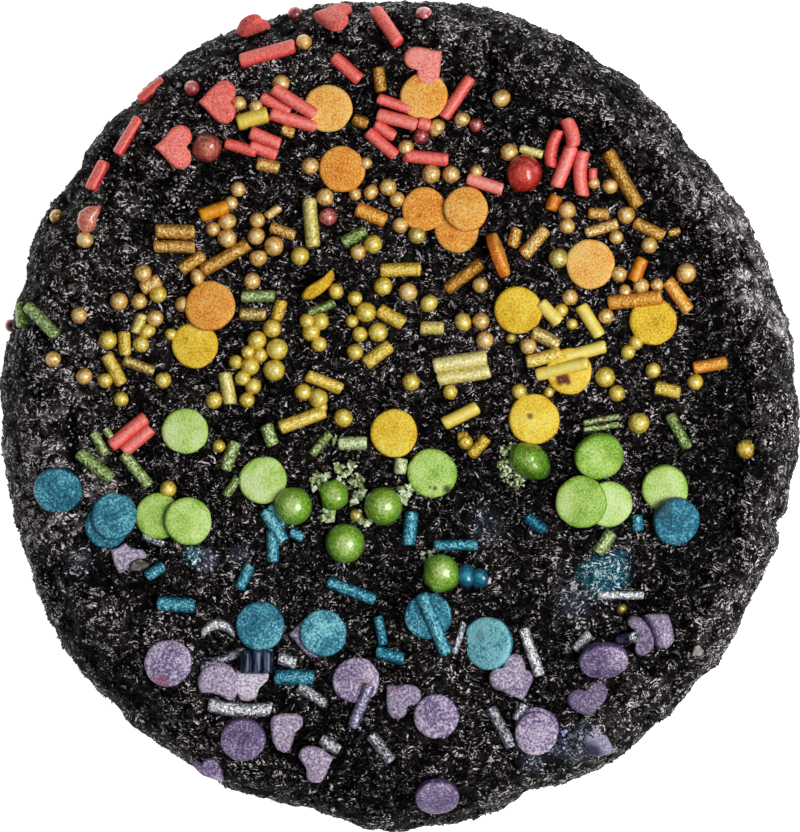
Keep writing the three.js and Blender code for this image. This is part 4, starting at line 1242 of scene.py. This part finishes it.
PALE_RODS = [
    (309, 198, 313, 247, 1.85, 0, 0, -0.2), (135, 333, 143, 314, 1.5, 0, 0, -0.3),
    (224, 372, 231, 404, 1.75), (433, 366, 487, 357, 2.0, 0, 0, 0.7),
    (437, 379, 490, 371, 1.9, 0, 0, 0.4), (520, 148, 543, 155, 1.15, 0.2, 0.2, 0.2),
    (420, 328, 444, 328, 1.75, 0, 0, -0.3),
]
OLIVE_RODS = [
    (239, 314, 266, 314, 1.65), (123, 360, 154, 371, 1.35), (532, 331, 559, 345, 1.75, 0, 0, 0.3),
]
GREEN_RODS = [
    (17, 303, 26, 327, 1.6, 0.9, 0.9, -0.2), (25, 305, 59, 336, 1.7, 0.2, 0, -0.1),
    (342, 243, 366, 230, 1.65, -0.2, -0.2, -0.5), (241, 296, 275, 296, 1.55),
    (308, 313, 335, 302, 1.15, -0.1, -0.1, -0.4), (78, 452, 112, 479, 1.75, 0, 0, -0.2),
    (93, 432, 106, 455, 1.35, 0, 0, 0.1), (104, 428, 112, 438, 1.0),
    (123, 453, 149, 486, 1.55, 0, 0, 0.2), (266, 424, 273, 446, 1.75, 0, 0, 0.1),
    (236, 441, 225, 470, 1.65), (238, 478, 225, 496, 1.25, 0, 0, -0.3),
    (311, 455, 330, 433, 1.15, 0, 0, -0.2), (338, 443, 367, 443, 1.65, 0, 0, 1.0),
    (401, 458, 400, 474, 1.75, 0, 0, 0.9), (583, 423, 620, 416, 0.75, 0.4, 0.3, 0.1),
    (583, 430, 619, 424, 0.75, 0.1, 0.2, 0.3), (669, 414, 688, 448, 1.5, 0, 0, -0.4),
    (612, 532, 597, 553, 1.75, 0, 0, 0.2),
]
BLUE_RODS = [
    (146, 577, 164, 565, 1.5), (157, 603, 195, 606, 1.85), (264, 510, 284, 541, 1.65, 0.3, 0.3, 0.4),
    (270, 505, 285, 525, 1.4), (272, 530, 273, 562, 1.6, 0, 0, 0.1), (290, 531, 303, 538, 1.4),
    (250, 565, 239, 589, 1.5), (327, 581, 375, 600, 1.5), (412, 511, 408, 545, 1.85),
    (526, 516, 545, 531, 1.55, 0, 0, -1.1), (434, 545, 478, 545, 1.4), (637, 515, 638, 531, 1.5),
    (378, 616, 383, 645, 1.25, 0, 0, -0.2), (376, 651, 404, 659, 1.65, 0, 0, -0.4),
    (274, 677, 314, 677, 1.95, 0, 0, -0.2), (421, 593, 446, 654, 1.8, 1.3, 0.2, 0.2),
]
NAVY_RODS = [
    (246, 650, 246, 673, 1.5, 1.1, 1.1), (257, 650, 257, 673, 1.5, 1.1, 1.1),
    (267, 650, 267, 673, 1.5, 1.1, 1.1),
]
SILVER_RODS = [
    (142, 535, 164, 544, 1.0, 0, 0, -0.3), (598, 595, 644, 595, 1.0, 0, 0, 1.1),
    (201, 634, 234, 633, 1.4, 0, 0, 0.5, 1.15), (200, 668, 245, 650, 1.25, -0.1, 0, -0.9),
    (278, 657, 296, 664, 1.6, 0, 0, 0.6), (298, 686, 326, 704, 1.5),
    (208, 704, 272, 708, 1.75, 0, 0, 0.6, -0.5), (321, 738, 339, 751, 1.5),
    (464, 622, 454, 654, 0.9, 0, 0, 0.1), (523, 628, 540, 676, 1.5, 0, 0, 0.8),
    (525, 704, 515, 720, 1.25), (634, 637, 633.6, 637, 1.45, 2.9, 1.5, 0.4),
    (590, 633, 574, 650, 1.3, 0.2, 0.2, 0.7), (370, 734, 392, 761, 1.6, 0, 0, -0.4),
    (490, 707, 512, 747, 1.6, 0, 0, -0.5),
]
PURPLE_RODS = [
    (370, 684, 352, 727, 1.5, 1.0, 0.1), (632, 637, 618, 640, 1.4, 1.4, 0, -1.6),
]


def rod_grids(rows, length, random):
    """Grids of rods along +X: rings spread evenly between rounded ends, a little out of round, bowed
    sideways, with the end faces broken unevenly. All have as many rings as the longest one needs."""
    inner = int(math.ceil(length.max() / ROD_STEP))
    share = np.concatenate([END_SHARES, np.ones(inner), END_SHARES[::-1]])
    turn = np.arange(ROD_COLUMNS) / ROD_COLUMNS * 2 * math.pi
    half = length[:, None] / 2
    x = np.concatenate([
        -half + END_STEPS * END_ROUNDING,
        (np.linspace(0, 1, inner) - 0.5) * (length[:, None] - 2 * END_ROUNDING),
        half - END_STEPS[::-1] * END_ROUNDING], 1)
    radius = rows[:, 4, None] / 2 * share[None]
    oval = 1 + ROD_OVAL * np.cos(2 * turn + random.uniform(0, ANY_SWING, (len(rows), 1)))
    across = radius[:, :, None] * oval[:, None, :]
    sway = ROD_SWAY * np.sin(SWAY_RATE * x + random.uniform(0, ANY_SWING, (len(rows), 1)))
    bow = rows[:, 8, None] * (1 - (2 * x / length[:, None]) ** 2) + sway
    along = np.broadcast_to(x[:, :, None], across.shape)
    grid = np.stack([along, across * np.cos(turn) + bow[:, :, None], across * np.sin(turn)], -1)
    near_end = np.clip((np.abs(grid[..., 0]) - half[..., None] + BREAK_REACH) / BREAK_REACH, 0, 1)
    broken = BREAK_HEIGHT * lump_3d(grid * BREAK_LUMPS + random.uniform(0, WEAR_AWAY, (len(rows), 1, 1, 3)))
    slant = random.uniform(-BREAK_SLANT, BREAK_SLANT, (len(rows), 1, 1)) * grid[..., 1]
    grid[..., 0] += near_end * (broken + slant)
    return grid


def rods(name, table, finish, seed, skin, skin_spacing):
    """A colour of rods, laid on the crust from end to end."""
    random = np.random.default_rng(seed)
    rows = padded(table, 9)
    x1, y1 = across_up(rows[:, 0], rows[:, 1])
    x2, y2 = across_up(rows[:, 2], rows[:, 3])
    run = np.stack([x2 - x1, y2 - y1, rows[:, 6] - rows[:, 5]], -1)
    length = np.linalg.norm(run, axis=1)
    ahead = run / length[:, None]
    side = np.cross([0.0, 0.0, 1.0], ahead)
    side /= np.linalg.norm(side, axis=1, keepdims=True)
    axes = np.stack([ahead, side, np.cross(ahead, side)], -1)
    nought = np.zeros(len(rows))
    x, y, lift = (rows[:, 0] + rows[:, 2]) / 2, (rows[:, 1] + rows[:, 3]) / 2, (rows[:, 5] + rows[:, 6]) / 2
    middle, slope = lie(x, y, rows[:, 4], nought, nought, lift, nought)
    grid = worn(rod_grids(rows, length, random), skin, skin_spacing, random)
    height = np.sin(np.arange(ROD_COLUMNS) / ROD_COLUMNS * 2 * math.pi)
    # Painted shade below the middle and a painted highlight on top, in tone.
    darker = painted_highlight_and_shade(height, ROD_DARKER, ROD_HIGHLIGHT)
    tones = shaded(rows[:, 7], np.repeat(darker[None], grid.shape[1], 0))
    return strew(name, grid, middle, slope @ axes, finish, tones)


LENGTHWISE = (0.22, 1, 1)     # how noise is stretched along a rod, for streaks
rods("rods_coral", CORAL_RODS, sugar(
    "coral_satin", screen(176, 26, 30), screen(246, 98, 88), screen(255, 172, 160), 1.3, 3.2, 0.42, 0.08,
    detail=3.0, Coat_Weight=0.15), 51, 0.012, 0.9)
rods("rods_gold", GOLD_RODS, sugar(
    "gold_glitter", screen(122, 76, 4), screen(214, 152, 46), screen(255, 234, 168), 1.8, 2.8, 0.32, 0.32,
    Metallic=0.4), 52, 0.02, 0.4)
rods("rods_orange", ORANGE_RODS, sugar(
    "orange_glitter", screen(168, 80, 2), screen(240, 154, 36), screen(255, 214, 120), 1.8, 2.8, 0.34, 0.28,
    Metallic=0.25), 53, 0.02, 0.4)
rods("rods_yellow", YELLOW_RODS, sugar(
    "yellow_glitter", screen(150, 106, 6), screen(234, 196, 62), screen(255, 244, 160), 1.8, 2.8, 0.34, 0.28,
    Metallic=0.22), 54, 0.02, 0.4)
rods("rods_butter", BUTTER_RODS, sugar(
    "butter_satin", screen(184, 138, 12), screen(240, 214, 88), screen(255, 246, 150), 0.9, 2.4, 0.42, 0.06,
    detail=3.0, Coat_Weight=0.2), 62, 0.02, 0.7)
rods("rods_amber", AMBER_RODS, sugar(
    "amber_satin", screen(126, 54, 0), screen(216, 118, 2), screen(255, 196, 42), 1.2, 1.8, 0.4, 0.1,
    detail=3.0, Coat_Weight=0.15, Specular_IOR_Level=0.35), 63, 0.03, 0.7)
rods("rods_pale", PALE_RODS, sugar(
    "pale_glitter", screen(134, 118, 42), screen(218, 202, 104), screen(255, 248, 186), 1.9, 2.8, 0.36, 0.14,
    Metallic=0.12), 55, 0.02, 0.4)
rods("rods_olive", OLIVE_RODS, sugar(
    "olive_glitter", screen(88, 68, 10), screen(180, 150, 70), screen(250, 230, 160), 2.2, 2.8, 0.32, 0.2,
    Metallic=0.4), 56, 0.02, 0.4)
rods("rods_green", GREEN_RODS, sugar(
    "green_glitter", screen(28, 60, 14), screen(126, 156, 68), screen(234, 246, 196), 2.4, 2.8, 0.32, 0.32,
    Metallic=0.22), 57, 0.025, 0.4)
rods("rods_blue", BLUE_RODS, sugar(
    "blue_glitter", screen(0, 48, 76), screen(20, 134, 162), screen(158, 228, 238), 2.3, 2.8, 0.3, 0.34,
    Metallic=0.28), 58, 0.02, 0.4)
rods("rods_navy", NAVY_RODS, sugar(
    "navy_shell", screen(6, 10, 30), screen(18, 28, 56), screen(92, 110, 144), 2.0, 1.8, 0.3, 0.1, LENGTHWISE,
    Coat_Weight=0.1, Specular_IOR_Level=0.25), 59, 0.03, 0.6)
rods("rods_silver", SILVER_RODS, sugar(
    "silver_glitter", screen(44, 42, 54), screen(156, 158, 172), screen(255, 255, 255), 2.9, 2.6, 0.28, 0.4,
    Metallic=0.5), 60, 0.035, 0.45)
rods("rods_purple", PURPLE_RODS, sugar(
    "purple_glitter", screen(56, 44, 88), screen(132, 124, 162), screen(230, 226, 246), 2.2, 2.6, 0.3, 0.22,
    Metallic=0.4), 61, 0.03, 0.45)

# --------------------------------------------------------------------------------------------------- pearls
# Small sugar pearls, 1 to 3 mm across, with a nacre coat; their tops are painted pale as a highlight and
# their lower parts painted darker as shade. They lie singly and in clusters, gold above, yellow below, a few
# red at the top and some olive.

PEARL_RINGS, PEARL_COLUMNS = 14, 24
PEARL_SKIN, PEARL_SKIN_SPACING = 0.045, 0.6
PLAIN_PEARL = (1, 1, 0, 0.04, 0, 0)                        # what a row's end stands for where it is left out

# x, y, radius in mm, share of its height, long over short, heading of its long side, dent, tone, lift
RED_PEARLS = [
    (295, 13, 0.95, 1, 1, 0, 0.03, -0.4, 0.4), (192, 88, 1.0), (424, 15, 1.08, 1, 1, 0, 0.03, 0.9, 0.6),
    (421, 136, 1.0, 1, 1, 0, 0.03, -0.4), (476, 125, 0.9), (328, 217, 1.15, 1, 1, 0, 0.03, 0.3),
    (10, 325, 0.8, 1, 1, 0, 0.04, 0, 0.3),
]
GOLD_PEARLS = [
    (304, 42, 1.02), (281, 83, 1.12), (239, 103, 0.9), (256, 107, 0.9), (238, 189, 1.0), (231, 203, 0.9),
    (310, 166, 1.12), (366, 163, 0.8), (325, 197, 1.15), (355, 194, 0.8), (371, 192, 0.97, 1, 1.15, 60),
    (388, 187, 1.1), (397, 199, 1.0), (501, 98, 1.15, 0.95, 1.12, 60, 0.22, 0.2),
    (462, 119, 1.0, 1, 1.1, 20, 0.15), (437, 128, 1.0, 0.9, 1.25, 70, 0.3), (406, 147, 1.0),
    (431, 174, 1.2), (451, 174, 1.1), (476, 171, 0.85), (509, 152, 1.15), (594, 183, 0.78),
    (610, 186, 1.0), (85, 240, 1.08), (56, 216, 0.9), (197, 277, 1.02, 1, 1.25, 100), (143, 273, 1.12),
    (119, 301, 1.15), (139, 301, 1.02), (79, 315, 1.05), (155, 318, 1.05), (183, 304, 1.05),
    (53, 359, 1.0), (84, 376, 1.05), (227, 221, 1.12, 1, 1.15, 10), (213, 229, 0.92), (227, 238, 1.22),
    (257, 220, 1.0), (256, 236, 1.12), (274, 246, 1.25), (259, 257, 1.05, 0.9, 1.1, 30, 0.2),
    (252, 281, 1.08), (400, 225, 1.05), (358, 252, 1.02), (408, 292, 1.2, 1, 1, 0, 0.03, 0.3),
    (480, 285, 1.0), (567, 210, 1.1), (567, 226, 1.0), (485, 340, 1.1, 1, 1, 0, 0.03, 0.2),
    (481, 321, 1.1), (570, 297, 1.05), (528, 346, 1.05), (626, 215, 1.12), (616, 237, 0.9),
    (649, 245, 1.05), (619, 274, 1.0), (641, 286, 1.05), (657, 285, 0.85), (625, 291, 0.8),
    (686, 273, 1.3), (606, 316, 1.02),
]
YELLOW_PEARLS = [
    (378, 332, 1.25), (158, 294, 1.1), (147, 331, 1.0, 1, 1.3, 20), (108, 340, 1.2), (141, 344, 1.05),
    (105, 380, 0.95), (163, 380, 1.05), (121, 399, 0.95), (171, 334, 0.8), (373, 244, 1.2),
    (300, 256, 1.18), (336, 291, 0.98), (320, 321, 1.15), (307, 321, 1.0), (311, 332, 1.15),
    (319, 344, 1.0), (383, 286, 1.2), (355, 298, 0.95), (366, 312, 1.3), (352, 321, 0.85),
    (360, 334, 1.0), (355, 352, 1.05), (272, 328, 1.18), (257, 340, 1.22),
    (277, 349, 1.38, 1, 1, 0, 0.03, 0.3), (248, 352, 0.9), (260, 355, 1.0),
    (274, 370, 1.38, 1, 1, 0, 0.03, 0.2), (250, 366, 1.2), (236, 362, 0.9), (243, 378, 1.0),
    (253, 386, 1.05), (247, 400, 1.0), (214, 400, 1.1), (411, 382, 1.15),
    (429, 303, 1.12, 1, 1.15, 40, 0.03, 0.4), (463, 322, 1.12, 1, 1.15, 110, 0.03, 0.2), (561, 310, 0.9),
    (572, 324, 0.75), (519, 391, 0.95), (450, 392, 0.95), (549, 392, 0.65), (605, 377, 1.3),
    (617, 393, 1.05), (636, 342, 0.95), (628, 352, 0.95), (653, 370, 1.0), (695, 382, 1.0, 1, 1, 0, 0.2),
    (343, 418, 1.2), (465, 442, 0.95, 1, 1, 0, 0.1, -0.5), (168, 489, 1.08),
    (639, 423, 1.38, 1, 1, 0, 0.1, 0.2), (746, 449, 1.25, 1, 1, 0, 0.03, -0.4),
    (303, 392, 1.1, 1, 1, 0, 0.15), (318, 398, 1.25, 1, 1, 0, 0.15), (322, 407, 0.75),
    (219, 446, 0.82, 1, 1, 0, 0.03, -0.2),
]
OLIVE_PEARLS = [
    (417, 235, 1.15), (558, 258, 1.25, 1, 1, 0, 0.03, 0.3), (511, 338, 0.65, 1, 1, 0, 0.03, -0.4),
    (622, 608, 0.65, 1, 1, 0, 0.2, -0.8), (356, 515, 0.8),
]


def pearls(name, table, finish, seed):
    """A colour of pearls, laid on the crust. Rows that give no shape are round."""
    shaped = [row + PLAIN_PEARL[len(row) - 3:] for row in table]
    return balls(name, shaped, finish, seed, PEARL_RINGS, PEARL_COLUMNS, PEARL_SKIN, PEARL_SKIN_SPACING)


def nacre(name, dark, middle, light):
    """A pearl's coat: mostly colour under a satin sheen, with fine uneven glitter."""
    return sugar(name, dark, middle, light, 1.7, 2.6, 0.38, 0.26, detail=3.0, Metallic=0.22, Coat_Weight=0.9,
                 Coat_Roughness=0.12, Coat_IOR=1.6)


pearls("pearls_red", RED_PEARLS, nacre(
    "red_nacre", screen(90, 16, 26), screen(184, 66, 72), screen(244, 170, 164)), 71)
pearls("pearls_gold", GOLD_PEARLS, nacre(
    "gold_nacre", screen(130, 80, 16), screen(244, 190, 92), screen(255, 242, 190)), 72)
pearls("pearls_yellow", YELLOW_PEARLS, nacre(
    "yellow_nacre", screen(136, 102, 4), screen(240, 206, 62), screen(255, 248, 160)), 73)
pearls("pearls_olive", OLIVE_PEARLS, nacre(
    "olive_nacre", screen(96, 84, 12), screen(194, 170, 62), screen(250, 242, 168)), 74)

# --------------------------------------------------------------------------------------------- broken sugar
# Splinters of smashed beads and glitter rubbed into the crust, with a few chips of pale crust and brown
# crumbs stuck to the sprinkles. They are sharp little bits like the crumbs, in the colours of what broke.

FLAKE_TONE, FLAKE_MOTTLE = 0.15, 1500        # how far a tone moves the colour, and bumps for each metre


def flakes(name, places, smallest, largest, finish, seed, lift):
    """Flakes strewn about places: x, y, radius in mm of the patch, and how many. The distance from its
    middle is the radius times the root of a draw, so that they lie evenly."""
    random = np.random.default_rng(seed)
    spots = []
    for x, y, spread, count in places:
        across, up = across_up(x, y)
        heading, far = random.uniform(0, 2 * math.pi, count), spread * np.sqrt(random.random(count))
        spots.append(np.stack([across + far * np.cos(heading), up + far * np.sin(heading)], -1))
    flat = np.concatenate(spots)
    upward = np.broadcast_to([0.0, 0.0, 1.0], (len(flat), 3))
    middle = np.column_stack([flat, crust_height(flat[:, 0], flat[:, 1]) + lift])
    sizes = random.uniform(smallest, largest, len(flat))
    tone = random.uniform(-1, 1, len(flat))
    return crystals(name, OCTA, OCTA_FACES, middle, upward, sizes, random, finish, tone)


def flake(name, dark, middle, light):
    """The surface of flakes, each of its own tone."""
    made = material(name, roughness=0.35)
    own = calculate(made, "MULTIPLY_ADD", attribute(made, "tone"), FLAKE_TONE, noise(made, FLAKE_MOTTLE, 2.0))
    wire(made, ramp(made, own, (0.34, dark), (0.5, middle), (0.66, light)), "Base Color")
    return made


flakes("green_splinters", [
    (316, 482, 0.8, 12), (323, 477, 0.5, 5), (338, 472, 1.0, 16), (350, 468, 0.7, 7), (357, 480, 0.9, 13),
    (362, 491, 0.6, 7), (357, 499, 0.8, 10), (326, 513, 0.8, 11), (402, 495, 0.9, 12), (409, 488, 0.5, 5),
    (357, 513, 0.5, 5), (364, 522, 0.5, 5), (345, 487, 0.5, 4), (505, 451, 0.5, 8), (512, 445, 0.5, 6),
    (519, 450, 0.4, 4)], 0.6, 1.5,
    flake("green_splinter", screen(84, 106, 46), screen(168, 188, 124), screen(242, 248, 228)), 81, 0.4)
flakes("green_crumbs", [
    (504, 466, 0.8, 22), (511, 476, 1.1, 34), (519, 483, 0.8, 12), (428, 554, 0.9, 24), (333, 440, 0.6, 8),
    (364, 522, 0.6, 6)], 0.35, 0.8,
    flake("green_crumb", screen(80, 104, 44), screen(168, 188, 126), screen(236, 244, 218)), 82, 0.25)
flakes("blue_dust", [
    (590, 572, 1.2, 12), (602, 568, 1.6, 20), (615, 576, 1.4, 16), (621, 561, 1.2, 9), (600, 582, 1.5, 16),
    (613, 587, 1.2, 10), (193, 555, 1.0, 16)], 0.25, 0.7,
    flake("blue_dust_grain", screen(6, 50, 70), screen(84, 150, 172), screen(224, 242, 246)), 83, 0.15)
flakes("navy_dust", [
    (560, 738, 1.3, 26), (576, 748, 1.6, 34), (584, 734, 1.0, 14)], 0.25, 0.7,
    flake("navy_dust_grain", screen(10, 16, 50), screen(52, 66, 120), screen(170, 182, 220)), 86, 0.12)
flakes("grey_dust", [
    (206, 560, 1.5, 24), (245, 560, 1.3, 16), (80, 560, 1.8, 20), (485, 525, 2.0, 24), (530, 760, 1.3, 34),
    (540, 768, 0.9, 18), (575, 600, 2.0, 26), (612, 715, 0.8, 20)], 0.25, 0.7,
    flake("grey_dust_grain", screen(60, 62, 70), screen(130, 132, 142), screen(220, 222, 230)), 84, 0.12)
chips("skin_flakes", [
    (0.3, 14, 120, 0.6, 0, 0, [
        (697, 650), (692, 654), (694, 646), (699, 644), (704, 651), (700, 656)]),
    # The dark chip under the broken heart stands partly for shade on the heart's broken face: painted shade.
    (-0.1, 0, 0, 0.9, 0, -1.3, [
        (139, 565), (128, 571), (131, 562), (139, 558), (146, 561), (150, 566), (140, 571)]),
    (0.4, 20, 130, 0.6, 0, -0.6, [
        (643, 728), (638, 733), (640, 722), (645, 720), (649, 728), (645, 736)])], sugar(
    "grey_skin", screen(60, 56, 54), screen(140, 136, 132), screen(200, 196, 192), 1.6, 2.4, 0.6, 0.1), 87)
flakes("brown_crumbs", [
    (563, 380, 0.5, 7), (336, 426, 0.6, 8), (303, 398, 0.7, 10), (530, 416, 0.25, 3), (321, 464, 0.6, 8),
    (72, 288, 0.5, 5), (333, 556, 0.5, 4), (250, 713, 0.6, 12), (602, 421, 0.6, 8)], 0.3, 0.6,
    flake("brown_crumb", screen(40, 22, 16), screen(86, 54, 38), screen(150, 112, 86)), 85, 0.9)
